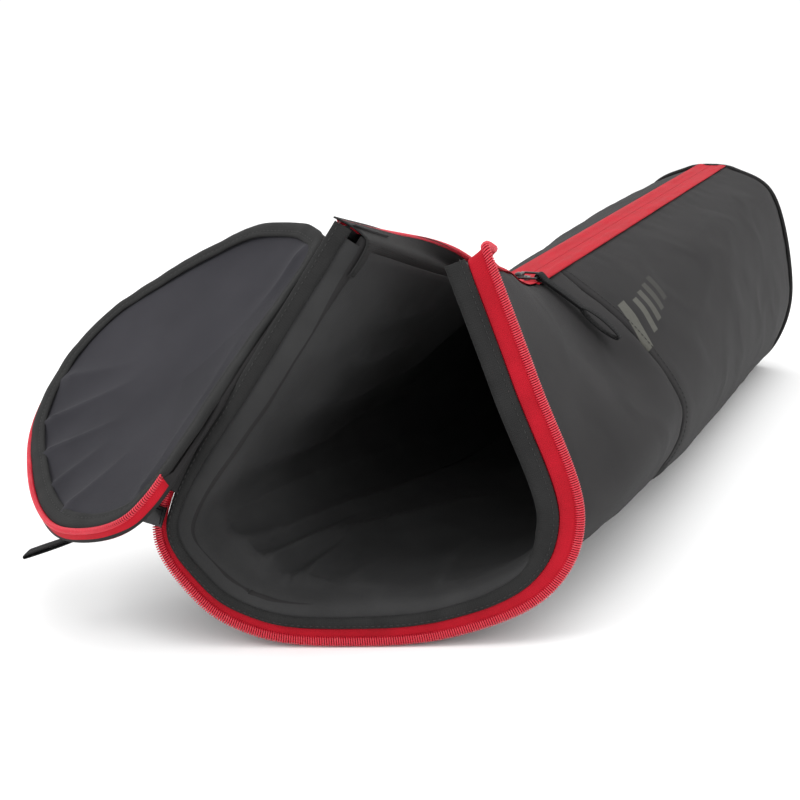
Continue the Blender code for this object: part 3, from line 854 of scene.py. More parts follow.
def wire(
    name: str,
    lines: Sequence[tuple[np.ndarray, float]],
    radius: float,
    sides: int = 1,
    cyclic: bool = False,
) -> bpy.types.Curve:
    """Round wires along lines of points, each with its own share of the radius."""
    curve = bpy.data.curves.new(name, "CURVE")
    curve.dimensions = "3D"
    curve.bevel_depth = radius
    curve.bevel_resolution = sides
    curve.use_fill_caps = not cyclic
    for points, share in lines:
        spline = curve.splines.new("POLY")
        spline.points.add(len(points) - 1)
        spline.points.foreach_set("co", np.hstack([points, np.ones((len(points), 1))]).ravel())
        spline.points.foreach_set("radius", [share] * len(points))
        spline.use_cyclic_u = cyclic
    return curve


def coil_line(
    centres: np.ndarray,
    wide: np.ndarray,
    proud: np.ndarray,
    half_wide: float,
    half_proud: float,
    pitch: float = 0.00125,
) -> np.ndarray:
    """The thread of a zipper's coil along a line, eight points to a turn."""
    total = lengths(centres)[-1]
    count = max(16, int(total / pitch * 8))
    packed = evenly(np.stack([centres, wide, proud], axis=1), count, centres)
    angle = np.arange(count) * math.pi / 4
    return (
        packed[:, 0]
        + packed[:, 1] * (np.cos(angle) * half_wide)[:, None]
        + packed[:, 2] * (np.sin(angle) * half_proud)[:, None]
    )


def stitched(
    name: str,
    line: np.ndarray,
    proud: np.ndarray,
    pitch: float,
    size: tuple[float, float, float],
) -> bpy.types.Mesh:
    """A row of stitches lying along a line.

    Args:
        name: The mesh's name.
        line: The seam's points.
        proud: The way out of the cloth at each.
        pitch: From one stitch to the next.
        size: Half length, half width and half height of a stitch.

    Returns:
        One mesh with all the stitches.
    """
    count = max(2, int(lengths(line)[-1] / pitch))
    packed = evenly(np.stack([line, proud], axis=1), count, line)
    way = np.gradient(packed[:, 0], axis=0)
    one = bmesh.new()
    bmesh.ops.create_uvsphere(one, u_segments=6, v_segments=4, radius=1.0)
    template = to_mesh(name + "_one", one)
    built = bmesh.new()
    for (at, up), along in zip(packed, way):
        x, z = Vector(along).normalized(), Vector(up)
        z = (z - x * z.dot(x)).normalized()
        turn = Matrix((x, z.cross(x), z)).transposed().to_4x4()
        start = len(built.verts)
        built.from_mesh(template)
        built.verts.ensure_lookup_table()
        bmesh.ops.transform(
            built,
            matrix=Matrix.Translation(Vector(at)) @ turn @ Matrix.Diagonal((*size, 1.0)),
            verts=built.verts[start:],
        )
    bpy.data.meshes.remove(template)
    return to_mesh(name, built)


def frames(line: np.ndarray, other: np.ndarray) -> tuple[np.ndarray, np.ndarray, np.ndarray]:
    """Middles, directions across and directions out for a tape between two rails."""
    wide = other - line
    wide /= np.linalg.norm(wide, axis=1)[:, None]
    way = np.gradient((line + other) / 2, axis=0)
    proud = np.cross(way, wide)
    proud /= np.linalg.norm(proud, axis=1)[:, None]
    return (line + other) / 2, wide, proud


def walled(piece: bpy.types.Object, thickness: float) -> bpy.types.Object:
    """Gives a sheet its thickness, behind the faces it shows."""
    wall = piece.modifiers.new("Wall", "SOLIDIFY")
    wall.thickness = thickness
    wall.offset = -1.0
    return piece


def tube_middle(point: Vector) -> Vector:
    """The middle of the tube beside a point."""
    return Vector((0.0, point.y, 0.09))


# ------------------------------------------------------------------------------------------------ the padded body
@dataclass
class PaddedBody:
    """The outer panels with the padding behind them, the closed end and their seams."""

    looks: Looks
    wall: float = 0.0056
    tuck: float = 0.0016
    tuck_width: float = 0.007
    fold: float = 0.0022
    grid: float = 0.0034

    def panel_points(self, around: tuple[float, float], along: tuple[float, float], seed: float) -> np.ndarray:
        """A panel's outer surface: crowned between its seams, with soft folds and puckers at its edges."""
        probe = FORM.read(np.linspace(*around, 40), np.array([sum(along) / 2]))[0]
        columns = max(8, int(lengths(probe)[-1] / self.grid))
        rows = max(8, int((along[1] - along[0]) / self.grid))
        points, inward = FORM.skin(np.linspace(*around, columns), np.linspace(*along, rows))
        u, v = lengths(points.transpose(1, 0, 2)).T, lengths(points)
        gap = np.minimum(np.minimum(u, u[:, -1:] - u), np.minimum(v, v[-1:] - v))
        edge = np.exp(-gap / self.tuck_width)
        broad = ripple(points, (9.0, 7.0, 9.0), seed, 2)
        folds = 1 - np.abs(ripple(points, (16.0, 11.0, 16.0), seed + 7, 2)) * 3.2
        pucker = ripple(points, (75.0, 75.0, 75.0), seed + 3, 1)
        rise = (broad * 0.9 + np.maximum(folds, 0.0) * 0.35) * self.fold * (1 - edge)
        sink = self.tuck * edge + pucker * 0.0007 * np.exp(-gap / 0.016)
        points -= inward * (rise - sink)[:, :, None]
        points[:, :, 2] = np.maximum(points[:, :, 2], CLEAR_OF_FLOOR)
        return points

    def panel(
        self,
        name: str,
        around: tuple[float, float],
        along: tuple[float, float],
        seed: float,
        *nodes: str,
    ) -> np.ndarray:
        """Builds one padded panel and returns its points."""
        points = self.panel_points(around, along, seed)
        look = self.looks.printed if name == "main_panel_right_cloth" else self.looks.outer
        piece = link(name, cloth(name, points, tube_middle), look, Body.CASE, nodes)
        walled(piece, self.wall)
        return points

    def build(self) -> None:
        """Builds the panels, the closed end, the piping and the topstitching."""
        head = (FORM.mouth_y + 0.0015, FORM.seam_y - 0.0001)
        main = (FORM.seam_y + 0.0001, FORM.shoulder_y)
        whole = (FORM.mouth_y + 0.0015, FORM.shoulder_y)
        self.panel("head_panel_right_cloth", (0.0, 3.598), head, 1.0, "head_panel_right")
        self.panel("head_panel_left_cloth", (6.402, 10.0), head, 11.0, "head_panel_left")
        right = self.panel("main_panel_right_cloth", (0.0, 3.598), main, 21.0, "main_panel_right", "foam_right")
        left = self.panel("main_panel_left_cloth", (6.402, 10.0), main, 31.0, "main_panel_left", "foam_left")
        self.panel("base_panel_cloth", (3.602, 6.398), whole, 41.0, "base_panel", "foam_base")
        for side, points in (("right", right), ("left", left)):
            line = points[2]
            out = line - np.array([0.0, line[0, 1], 0.09])
            mesh = stitched(
                f"seam_stitches_{side}", line + unit_rows(out) * 0.0002, unit_rows(out), 0.0034, TOPSTITCH,
            )
            link(f"seam_stitches_{side}", mesh, self.looks.dark_thread, Body.CASE)
        self.closed_end()

    def closed_end(self) -> None:
        """Builds the domed end and the piping round its shoulder."""
        around = np.concatenate([np.linspace(0.0, 10.0, 200), [0.0]])
        ring, inward = FORM.skin(around, [FORM.shoulder_y])
        ring, inward = ring[0], inward[0]
        middle = np.array([0.0, FORM.shoulder_y, 0.105])
        rows = []
        for share in np.concatenate([1 - np.linspace(0, 1, 26) ** 1.5 * 0.995, [0.0]]):
            row = middle + (ring - middle) * share
            row[:, 1] = FORM.shoulder_y + 0.002 + FORM.end_bulge * (1 - share**2.6)
            rows.append(row)
        points = np.stack(rows)
        folds = ripple(points, (14.0, 14.0, 14.0), 51.0)
        points[1:-1, :, 1] += folds[1:-1] * 0.0015
        points[-1, :, 1] = points[-1, 0, 1]
        piece = link(
            "end_panel_cloth", cloth("end_panel_cloth", points, lambda p: Vector((0.0, 0.30, 0.105))),
            self.looks.outer, Body.CASE, ["end_panel", "foam_end"],
        )  # fmt: skip
        walled(piece, self.wall)
        line = relaxed(ring[:-1] - inward[:-1] * 0.0002, 4, closed=True) + np.array([0.0, 0.001, 0.0])
        line[:, 2] = np.maximum(line[:, 2], 0.0024)
        link(
            "end_piping",
            wire("end_piping", [(line, 1.0)], 0.0021, 2, cyclic=True),
            self.looks.outer,
            Body.CASE,
        )


def unit_rows(v: np.ndarray) -> np.ndarray:
    """Each row at length 1."""
    return v / np.maximum(np.linalg.norm(v, axis=-1, keepdims=True), 1e-12)


@dataclass
class Lining:
    """The loose inner cloth: the tube's lining, its far end and the guard behind the zipper."""

    looks: Looks
    mouth: "Mouth"
    depth: float = 0.0086
    creases: tuple[tuple[float, float, float, float, float, float], ...] = (
        (7.35, -0.465, 5.60, -0.14, 0.0085, 0.0075), (7.00, -0.468, 5.10, -0.22, 0.0070, 0.0060),
        (6.60, -0.470, 6.10, -0.28, 0.0060, 0.0060), (6.05, -0.475, 5.90, -0.38, 0.0045, 0.0050),
        (5.50, -0.475, 5.95, -0.33, 0.0060, 0.0050), (4.90, -0.470, 5.30, -0.36, 0.0035, 0.0060),
        (4.20, -0.450, 4.60, -0.30, 0.0035, 0.0060), (7.90, -0.450, 6.90, -0.16, 0.0060, 0.0085),
        (8.45, -0.440, 8.10, -0.12, 0.0055, 0.0090), (8.95, -0.420, 8.75, -0.18, 0.0045, 0.0080),
        (9.45, -0.400, 9.10, -0.27, 0.0050, 0.0055), (9.72, -0.395, 9.50, -0.28, 0.0045, 0.0045),
        (3.20, -0.400, 2.90, -0.12, 0.0045, 0.0100), (1.70, -0.380, 1.50, -0.05, 0.0045, 0.0100),
        (5.20, -0.160, 4.40, 0.16, 0.0060, 0.0100), (7.20, -0.080, 6.60, 0.25, 0.0060, 0.0100),
    )  # fmt: skip

    def points(self) -> np.ndarray:
        """The lining's surface, from the binding's inner edge to the closed end."""
        around = np.linspace(0.05, 9.95, 190)
        outline = smooth_through(range(11), FORM.outline, around)
        start = self.mouth.seam(around) + self.mouth.width(around) - 0.0016
        first = FORM.on_mouth(drawn_in(outline, start, FORM.middle), 0.0004)
        along = np.concatenate(
            [FORM.mouth_y + 0.024 + np.arange(70) * 0.0042, np.linspace(-0.117, FORM.shoulder_y - 0.009, 70)],
        )
        skin, inward = FORM.skin(around, along)
        rows = skin + inward * self.depth
        lip = FORM.on_mouth(drawn_in(outline, np.maximum(0.0228, start + 0.0006), FORM.middle), -0.0006)
        lead = [
            first + (lip - first) * s + FORM.out * 0.0012 * math.sin(math.pi * s) for s in np.linspace(0, 1, 5)[:-1]
        ]
        lead += [lip + (rows[0] - lip) * s for s in np.linspace(0, 1, 6)[:-1]]
        rows = np.concatenate([np.stack(lead), rows])
        inward = np.concatenate([np.repeat(inward[:1], len(lead), axis=0), inward])
        rows[1:16] = relaxed(rows[1:16], 5)
        v = lengths(rows)
        hold = np.minimum(1.0, v / 0.022) * np.minimum(1.0, (v[-1:] - v) / 0.03)
        lift = ripple(rows, (11.0, 7.0, 11.0), 3.0, 2) * 0.0045 + 0.0020
        for u0, y0, u1, y1, high, wide in self.creases:
            share = np.linspace(0.0, 1.0, 90)
            column = np.interp(
                u0 + (u1 - u0) * share + 0.10 * np.sin(share * 5.0 + u0), around, np.arange(len(around)),
            )
            row = np.interp(y0 + (y1 - y0) * share, along, np.arange(len(along))) + len(lead)
            line = relaxed(rows[np.round(row).astype(int), np.round(column).astype(int)], 40)
            gap = np.linalg.norm(rows[:, :, None] - line[None, None], axis=3)
            near = gap.min(axis=2) + 0.0008
            fade = np.sin(math.pi * np.clip(share[gap.argmin(axis=2)] * 0.86 + 0.10, 0, 1)) ** 0.6
            lift = lift + high * fade * np.exp(-((near / wide) ** 1.25))
        return rows + inward * (np.minimum(lift, 0.0125) * hold)[:, :, None]

    def build(self) -> None:
        """Builds the lining, its far end and the guard strip."""
        rows = self.points()
        name = "lining_cloth_body"
        built = cloth(name, rows, lambda p: p + (p - tube_middle(p)))
        piece = walled(link(name, built, self.looks.lining, Body.CASE, ["lining_body"]), LINING_WALL)

        ring, inward = FORM.skin(np.concatenate([np.linspace(0.0, 10.0, 160), [0.0]]), [FORM.shoulder_y - 0.009])
        ring = ring[0] + inward[0] * self.depth
        middle = np.array([0.0, FORM.shoulder_y - 0.004, 0.100])
        shares = np.concatenate([np.linspace(1.0, 0.04, 16), [0.0]])
        rows = np.stack([middle + (ring - middle) * s for s in shares])
        rows[:, :, 1] += (1 - shares**2.6)[:, None] * 0.018
        name = "lining_cloth_end"
        built = cloth(name, rows, lambda p: Vector((0.0, 0.60, 0.10)))
        piece = walled(link(name, built, self.looks.lining, Body.CASE, ["lining_end"]), LINING_WALL)

        y = np.linspace(FORM.slider_y + 0.004, FORM.shoulder_y - 0.004, 60)
        x = np.linspace(-0.021, 0.021, 9)
        rows = np.array([[(a, b, FORM.spine_height(b) - 0.0080 - 0.10 * abs(a)) for a in x] for b in y])
        name = "zipper_guard"
        piece = walled(
            link(name, cloth(name, rows, lambda p: p + Vector((0, 0, 1))), self.looks.lining, Body.CASE),
            0.0007,
        )


# ------------------------------------------------------------------------------------------------ zipper and bindings
@dataclass
class Mouth:
    """The zipper, the bound edge, the slit, the closed spine and the hinge gusset."""

    looks: Looks
    coil_end: float = 8.25
    stitch: float = 0.0032
    seam_at: tuple[tuple[float, float], ...] = (
        (0.0, 0.0137), (2.3, 0.0137), (3.6, 0.0100), (5.0, 0.0092), (6.4, 0.0088), (7.4, 0.0078),
        (8.1, 0.0070), (8.6, 0.0030), (9.0, 0.0012), (10.0, 0.0008),
    )  # fmt: skip
    tape_width: tuple[tuple[float, float], ...] = (
        (0.0, 0.0108), (2.3, 0.0108), (3.6, 0.0068), (5.0, 0.0060), (6.4, 0.0058), (8.1, 0.0056), (9.0, 0.0085),
        (10.0, 0.0095),
    )  # fmt: skip

    def seam(self, u: np.ndarray) -> np.ndarray:
        """How far in from the outline the binding starts, at outline values."""
        return np.interp(u, *np.array(self.seam_at).T)

    def width(self, u: np.ndarray) -> np.ndarray:
        """How wide the binding shows, at outline values."""
        return np.interp(u, *np.array(self.tape_width).T)

    def right_rails(self) -> tuple[np.ndarray, np.ndarray]:
        """The seam edge and the coil edge of the zipper tape, from its end, up the mouth and down the slit."""
        u = np.linspace(self.coil_end, 0.0, 220)
        line = smooth_through(range(11), FORM.outline, u)
        along = np.linspace(FORM.mouth_y + 0.002, FORM.slider_y - 0.008, 90)
        mouth_seam = FORM.on_mouth(drawn_in(line, self.seam(u), FORM.middle), -0.0002)
        mouth_edge = FORM.on_mouth(drawn_in(line, 0.0016, FORM.middle), 0.0004)
        tip = np.exp(-(((np.arange(310) - 219.0) / 9.0) ** 2))[:, None]
        seam = np.vstack([mouth_seam, FORM.slit_rail(Side.RIGHT, along, 0.0006)])
        edge = np.vstack([mouth_edge, FORM.slit_rail(Side.RIGHT, along, 0.0124)])
        edge += tip * (FORM.up * 0.0035 - FORM.across * 0.0015)
        both = relaxed(evenly(np.stack([seam, edge], axis=1), 460, edge), 22)
        return both[:, 0], both[:, 1]

    def left_rails(self) -> tuple[np.ndarray, np.ndarray]:
        """The same rails along the slit's left side."""
        along = np.linspace(FORM.mouth_y + 0.004, FORM.slider_y - 0.008, 110)
        return FORM.slit_rail(Side.LEFT, along, 0.0006), FORM.slit_rail(Side.LEFT, along, 0.0124)

    def zipper(
        self,
        side: str,
        seam: np.ndarray,
        edge: np.ndarray,
        tape_nodes: Sequence[str],
        coil_nodes: Sequence[str],
    ) -> None:
        """Builds a tape between two rails with the coil on its outer edge."""
        middle, wide, proud = frames(seam, edge)
        width = np.linalg.norm(edge - seam, axis=1)
        wave = ripple(middle, (60.0, 60.0, 60.0), 5.0, 1) * 0.0005
        section = tape_section(1.0, 0.0007, 0.0006)
        tape = swept(f"zip_tape_{side}", section, middle + proud * wave[:, None], wide, proud, stretch=width - 0.0008)
        link(f"zip_tape_{side}", tape, self.looks.red_tape, Body.CASE, tape_nodes)
        thread = coil_line(edge - wide * 0.0006, wide, proud, 0.0023, 0.0014)
        core = evenly(edge, 300)
        curve = wire(f"zip_coil_{side}", [(thread, 1.0)], 0.00044, 1)
        link(f"zip_coil_{side}", curve, self.looks.coil, Body.CASE, coil_nodes)
        # The darker cord shows between the coil's turns as painted shade.
        link(
            f"zip_cord_{side}",
            wire(f"zip_cord_{side}", [(core, 1.0)], CORD_RADIUS, 1),
            self.looks.cord_painted_shade,
            Body.CASE,
        )

    def binding(self) -> None:
        """Builds the folded tape over the mouth's raw edge, with its stitches."""
        u = np.linspace(0.0, 10.0, 340)
        line = smooth_through(range(11), FORM.outline, u)
        start, width = self.seam(u), self.width(u)
        rim = FORM.on_mouth(drawn_in(line, start, FORM.middle))
        middle = FORM.on_mouth(drawn_in(line, start + width / 2, FORM.middle))
        wide = unit_rows(middle - rim)
        proud = np.repeat(FORM.out[None], len(u), axis=0)
        wave = ripple(middle, (55.0, 55.0, 55.0), 2.0, 2) * 0.0005 + 0.0005
        section = np.array([
            (-0.500, 0.0002), (-0.490, 0.0011), (-0.40, 0.0018), (-0.15, 0.0023), (0.15, 0.0022), (0.36, 0.0016),
            (0.49, 0.0002), (0.535, -0.0018), (0.47, -0.0024), (0.38, -0.0008), (0.15, 0.0003), (-0.20, 0.0004),
        ])  # fmt: skip
        mesh = swept("mouth_binding_tape", section, middle + proud * wave[:, None], wide, proud, stretch=width)
        link("mouth_binding_tape", mesh, self.looks.binding, Body.CASE, ["mouth_binding"])
        line = middle + proud * (wave + 0.0023)[:, None] - wide * (width * 0.24)[:, None]
        mesh = stitched("mouth_binding_stitches", line, proud, self.stitch, FINE_STITCH)
        link("mouth_binding_stitches", mesh, self.looks.dark_thread, Body.CASE)

    def slit_binding(self, side: Side) -> None:
        """Builds the binding of one edge of the slit; on the left it stands up inside the tape."""
        along = np.linspace(FORM.mouth_y + 0.001, FORM.slider_y - 0.001, 100)
        step = 0.15 if side is Side.RIGHT else -0.22
        around = np.array([side.value, side.value + step * 0.02, side.value + step * 0.5, side.value + step])
        skin, inward = FORM.skin(around, along)
        if side is Side.RIGHT:
            columns = [FORM.slit_rail(side, along, 0.0012) + inward[:, 0] * 0.0040]
        else:
            foot = FORM.slit_rail(side, along, 0.0)
            turn = FORM.slit_rail(side, along, 1.0) - foot
            within = -unit_rows(np.cross(turn, np.gradient(foot, axis=0)))
            share = np.linspace(0, 1, 100)[:, None]
            reach = 0.0152 * (1 - 0.80 * share**3) - 0.0034 * np.exp(-(((share - 0.30) / 0.09) ** 2))
            columns = [foot + turn * reach * a + within * b for a, b in ((1.0, 0.0014), (0.5, 0.0021), (0.0, 0.0020))]
        columns += [skin[:, k] + inward[:, k] * d for k, d in ((1, 0.0068), (2, 0.0084), (3, 0.0080))]
        rows = np.stack(columns, axis=1)
        count = rows.shape[1]
        rows = np.stack([smooth_through(range(count), row, np.linspace(0, count - 1, 15)) for row in rows])
        name = f"slit_binding_{side.name.lower()}"
        outside = 1.0 if side is Side.RIGHT else -1.0
        mesh = cloth(name, rows, lambda p: Vector((outside * 0.3, p.y, p.z + 0.25)))
        walled(link(name, mesh, self.looks.binding, Body.CASE), BINDING_WALL)

    def corner(self) -> None:
        """Builds the small patch that closes the corner between the mouth's binding and the slit's."""
        count = 40
        u = np.linspace(10.0, 9.45, count)
        inset = self.seam(u) + self.width(u) * 0.55
        mouth = FORM.on_mouth(drawn_in(smooth_through(range(11), FORM.outline, u), inset, FORM.middle), -0.0014)
        along = np.linspace(FORM.mouth_y, FORM.mouth_y + 0.046, count)
        foot = FORM.slit_rail(Side.LEFT, along, 0.0)
        turn = FORM.slit_rail(Side.LEFT, along, 1.0) - foot
        within = -unit_rows(np.cross(turn, np.gradient(foot, axis=0)))
        slit = foot + turn * 0.0030 + within * 0.0034
        shares = np.linspace(0.0, 1.0, 14)
        rows = np.stack(
            [mouth * (1 - s) + slit * s - FORM.out * 0.002 * math.sin(math.pi * s) for s in shares], axis=1,
        )
        name = "mouth_corner_patch"
        mesh = cloth(name, rows, lambda p: p + Vector((0.0, 0.0, 1.0)))
        walled(link(name, mesh, self.looks.lining, Body.CASE), LINING_WALL)

    def gusset(self) -> None:
        """Builds the strip of cloth between the mouth's edge and the flap."""
        count = 90
        u = np.linspace(8.20, 9.99, count)
        line = smooth_through(range(11), FORM.outline, u)
        low, high = np.array(FORM.flap_hinge_edge)
        share = np.linspace(-0.10, 1.0, count)[:, None]
        flap_edge = low + (high - low) * share
        fixed = FORM.on_mouth(drawn_in(line, self.seam(u) + 0.004, FORM.middle), -0.0008)
        moving = FORM.on_flap(flap_edge + np.array([0.0035, -0.001]), 0.0088)
        away = unit(np.cross(fixed[-1] - fixed[0], moving[-1] - moving[0]))
        away = away if (moving[0] - fixed[0]) @ away > 0 else -away
        columns = []
        for s in np.linspace(0.0, 1.0, 13):
            sag = 0.006 * math.sin(math.pi * s)
            columns.append(fixed * (1 - s) + moving * s - FORM.out * sag)
        rows = np.stack(columns, axis=1)
        rows += (ripple(rows, (40.0, 40.0, 40.0), 8.0, 2) * 0.0010)[:, :, None] * FORM.out
        name = "hinge_gusset"
        piece = bpy.data.objects.new(name, cloth(name, rows, lambda p: p - Vector(FORM.out)))
        bpy.context.scene.collection.objects.link(piece)
        piece.data.materials.append(self.looks.outer)
        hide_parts("hinge_strip")
        walled(piece, BINDING_WALL)
        start = (fixed @ away).max()
        finish = (moving @ away).min()
        origin = fixed.mean(axis=0)
        origin = origin + away * (start - origin @ away)
        tuple(origin + away * max(finish - start, 0.004))
        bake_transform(piece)
        log.info("%s between %s and %s, %.4f wide", name, Body.CASE.value, Body.FLAP.value, finish - start)

    def spine(self) -> None:
        """Builds the two tapes of the closed spine and the chain under them."""
        y = np.linspace(FORM.slider_y - 0.006, FORM.shoulder_y - 0.001, 190)
        height = np.array([FORM.spine_height(b) for b in y])
        share = np.linspace(0, 1, 11)
        for name, way in (("right", 1.0), ("left", -1.0)):
            x = way * (0.00010 + (FORM.band / 2 + 0.0004) * share)
            crown = 0.0009 * np.sin(math.pi * np.clip((share - 0.36) / 0.60, 0, 1)) - 0.0003
            rows = np.stack(
                [np.broadcast_to(x, (len(y), 11)), np.repeat(y[:, None], 11, 1), height[:, None] + crown], axis=2,
            )
            wave = ripple(rows, (26.0, 24.0, 0.0), 4.0 * way, 2) * 0.0012 * np.minimum(1, (y - y[0]) / 0.03)[:, None]
            rows[:, :, 2] += wave * np.sin(math.pi * np.clip((share - 0.33) / 0.66, 0, 1))
            label = f"spine_tape_{name}"
            mesh = cloth(label + "_cloth", rows, lambda p: p - Vector((0, 0, 1)))
            walled(link(label + "_cloth", mesh, self.looks.red_tape, Body.CASE, [label]), 0.0008)
            line = np.stack([np.full(len(y), way * 0.0016), y, height - 0.0026], axis=1)
            wide = np.repeat([[1.0, 0.0, 0.0]], len(y), axis=0)
            proud = np.repeat([FORM.spine_up], len(y), axis=0)
            thread = coil_line(line, wide, proud, 0.0016, 0.0011)
            curve = wire(f"spine_chain_{name}", [(thread, 1.0)], 0.00038, 0)
            link(f"spine_chain_{name}", curve, self.looks.coil, Body.CASE, [f"spine_coil_{name}"])

    def build(self) -> None:
        """Builds everything round the mouth and along the spine."""
        seam, edge = self.right_rails()
        self.zipper("right", seam, edge, ["zip_tape_mouth", "slit_tape_right"], ["zip_coil_mouth", "slit_coil_right"])
        seam, edge = self.left_rails()
        self.zipper("left", seam, edge, ["slit_tape_left"], ["slit_coil_left"])
        self.binding()
        self.slit_binding(Side.RIGHT)
        self.slit_binding(Side.LEFT)
        self.spine()
        self.gusset()
        self.corner()


# ------------------------------------------------------------------------------------------------ the flap
@dataclass
class Flap:
    """The padded end flap, lying open with its lining up."""

    looks: Looks
    shell_front: float = 0.0122
    lining_front: float = 0.0059
    creases: tuple[tuple[tuple[float, float], tuple[float, float], float, float], ...] = (
        ((0.030, 0.006), (0.020, 0.060), 0.0052, 0.0055), ((0.060, 0.012), (0.045, 0.075), 0.0052, 0.0055),
        ((-0.010, 0.006), (0.004, 0.050), 0.0045, 0.0055), ((0.092, 0.030), (0.060, 0.080), 0.0042, 0.0070),
        ((-0.040, 0.016), (-0.020, 0.062), 0.0045, 0.0055), ((0.020, 0.205), (0.014, 0.160), 0.0040, 0.0050),
        ((-0.070, 0.070), (0.000, 0.150), 0.0042, 0.0070),
    )  # fmt: skip

    def dome(self, share: float | np.ndarray) -> float | np.ndarray:
        """How far the flap swells at a share of the way from its middle to its edge."""
        return FORM.flap_bulge * (1 - share**2.2)

    def shell(self) -> None:
        """Builds the outer panel with its padding."""
        loop = FORM.flap_loop(0.0)
        loop = np.vstack([loop, loop[:1]])
        middle = np.array(FORM.flap_middle)
        shares = np.concatenate([1 - np.linspace(0, 1, 34) ** 1.4 * 0.99, [0.0]])
        rows = []
        for share in shares:
            row = middle + (loop - middle) * share
            rows.append(
                FORM.on_flap(row, np.full(len(row), self.shell_front + self.dome(share) - 0.0022 * share**30)),
            )
        points = np.stack(rows)
        folds = ripple(points, (15.0, 15.0, 15.0), 61.0, 2) * 0.0018
        folds[0] = 0.0
        folds[-1] = folds[-1, 0]
        points += FORM.flap_out * folds[:, :, None]
        back = Vector(points.reshape(-1, 3).mean(axis=0) - FORM.flap_out * 0.5)
        piece = link(
            "flap_shell_cloth",
            cloth("flap_shell_cloth", points, lambda p: back),
            self.looks.outer,
            Body.FLAP,
            ["flap_shell", "foam_flap"],
        )
        walled(piece, 0.0034)

    def lining(self) -> None:
        """Builds the flap's lining with its soft folds."""
        loop = FORM.flap_loop(0.0042)
        middle = np.array(FORM.flap_middle)
        loop = np.vstack([loop, loop[:1]])
        shares = np.concatenate([np.linspace(1.0, 0.02, 56), [0.0]])
        flat = np.stack([middle + (loop - middle) * s for s in shares])
        front = self.lining_front + self.dome(shares)[:, None]
        points = np.stack([FORM.on_flap(row, np.full(len(row), f[0])) for row, f in zip(flat, front)])
        broad = ripple(points, (13.0, 13.0, 13.0), 17.0, 2)
        hold = np.minimum(1.0, (1 - shares) / 0.14)[:, None]
        lift = broad * 0.0024
        for (x0, y0), (x1, y1), high, wide in self.creases:
            start, way = np.array([x0, y0]), np.array([x1 - x0, y1 - y0])
            share = np.clip((flat - start) @ way / (way @ way), 0, 1)
            gap = np.linalg.norm(flat - start - share[:, :, None] * way, axis=2)
            lift = lift + high * np.exp(-(((gap + 0.0006) / wide) ** 1.3)) * (1.15 - share)
        lift = lift * hold
        lift[-1] = lift[-1, 0]
        points -= FORM.flap_out * lift[:, :, None]
        back = Vector(points.reshape(-1, 3).mean(axis=0) + FORM.flap_out * 0.5)
        built = cloth("flap_lining_sheet", points, lambda p: back)
        piece = walled(
            link("flap_lining_sheet", built, self.looks.flap_lining, Body.FLAP, ["lining_flap"]),
            LINING_WALL,
        )

    def edge(self) -> None:
        """Builds the zipper tape and coil on the free edge, the hinge wall and the binding."""
        free, hinge = 200, 44
        at = np.concatenate([np.linspace(0.0, 14.0, free), np.full(hinge, 15.0)])
        shown = np.interp(at, (0, 5.5, 9.0, 14.0, 15.0), (0.0, 0.0, 1.0, 1.0, 0.0))
        coil_front = 0.0078 - 0.0030 * shown
        top = FORM.on_flap(FORM.flap_loop(0.0030), coil_front + 0.0006)
        bottom = FORM.on_flap(FORM.flap_loop(0.0008), self.shell_front - 0.0012)
        for name, look, slot, node, part in (
            ("zip_tape_flap_cloth", self.looks.red_tape, Slot.ZIPPER, "zip_tape_flap", slice(0, free)),
            ("flap_hinge_wall_cloth", self.looks.outer, Slot.OUTER, "flap_hinge_wall", slice(free - 1, None)),
        ):
            middle, wide, proud = frames(top[part], bottom[part])
            width = np.linalg.norm(bottom[part] - top[part], axis=1)
            mesh = swept(name, tape_section(1.0, 0.0008), middle, wide, proud, stretch=width)
            link(name, mesh, look, Body.FLAP, [node])
        line = FORM.on_flap(FORM.flap_loop(0.0034), coil_front)[:free]
        outside = FORM.on_flap(FORM.flap_loop(0.0), coil_front)[:free]
        wide = unit_rows(outside - line)
        proud = np.repeat(FORM.flap_out[None], free, axis=0)
        thread = coil_line(line, wide, proud, 0.0013, 0.0014)
        link(
            "zip_coil_flap_thread",
            wire("zip_coil_flap_thread", [(thread, 1.0)], 0.00042, 1),
            self.looks.coil,
            Body.FLAP,
            ["zip_coil_flap"],
        )
        # The darker cord shows between the coil's turns as painted shade.
        link(
            "zip_cord_flap",
            wire("zip_cord_flap", [(line, 1.0)], CORD_RADIUS, 1),
            self.looks.cord_painted_shade,
            Body.FLAP,
        )

        start = 0.0004 + 0.0046 * shown
        start[free:] = 0.0006
        start = relaxed(start[:, None], 12, closed=True)[:, 0]
        rim, inner = FORM.on_flap(FORM.flap_loop(start), 0.0), FORM.on_flap(FORM.flap_loop(start + 0.0100), 0.0)
        middle = (rim + inner) / 2
        wide = unit_rows(inner - rim)
        proud = np.repeat(-FORM.flap_out[None], len(middle), axis=0)
        wave = ripple(middle, (50.0, 50.0, 50.0), 6.0, 2) * 0.0007
        base = -proud * 0.0062
        section = np.array([
            (-0.0050, -0.0012), (-0.0052, 0.0004), (-0.0044, 0.0013), (-0.0024, 0.0016), (0.0004, 0.0014), (
                0.0018, 0.0008,
            ),
            (0.0034, 0.0010), (0.0046, 0.0006), (0.0052, -0.0004), (0.0040, -0.0012), (0.0000, -0.0006),
        ])  # fmt: skip
        mesh = swept(
            "flap_binding_tape", section, middle + base + proud * (wave + 0.0004)[:, None], wide, proud, closed=True,
        )
        link("flap_binding_tape", mesh, self.looks.binding, Body.FLAP, ["flap_binding"])
        line = middle + base + proud * (wave + 0.0013)[:, None] + wide * 0.0018
        mesh = stitched("flap_binding_stitches", line, proud, 0.0032, FINE_STITCH)
        link("flap_binding_stitches", mesh, self.looks.dark_thread, Body.FLAP)

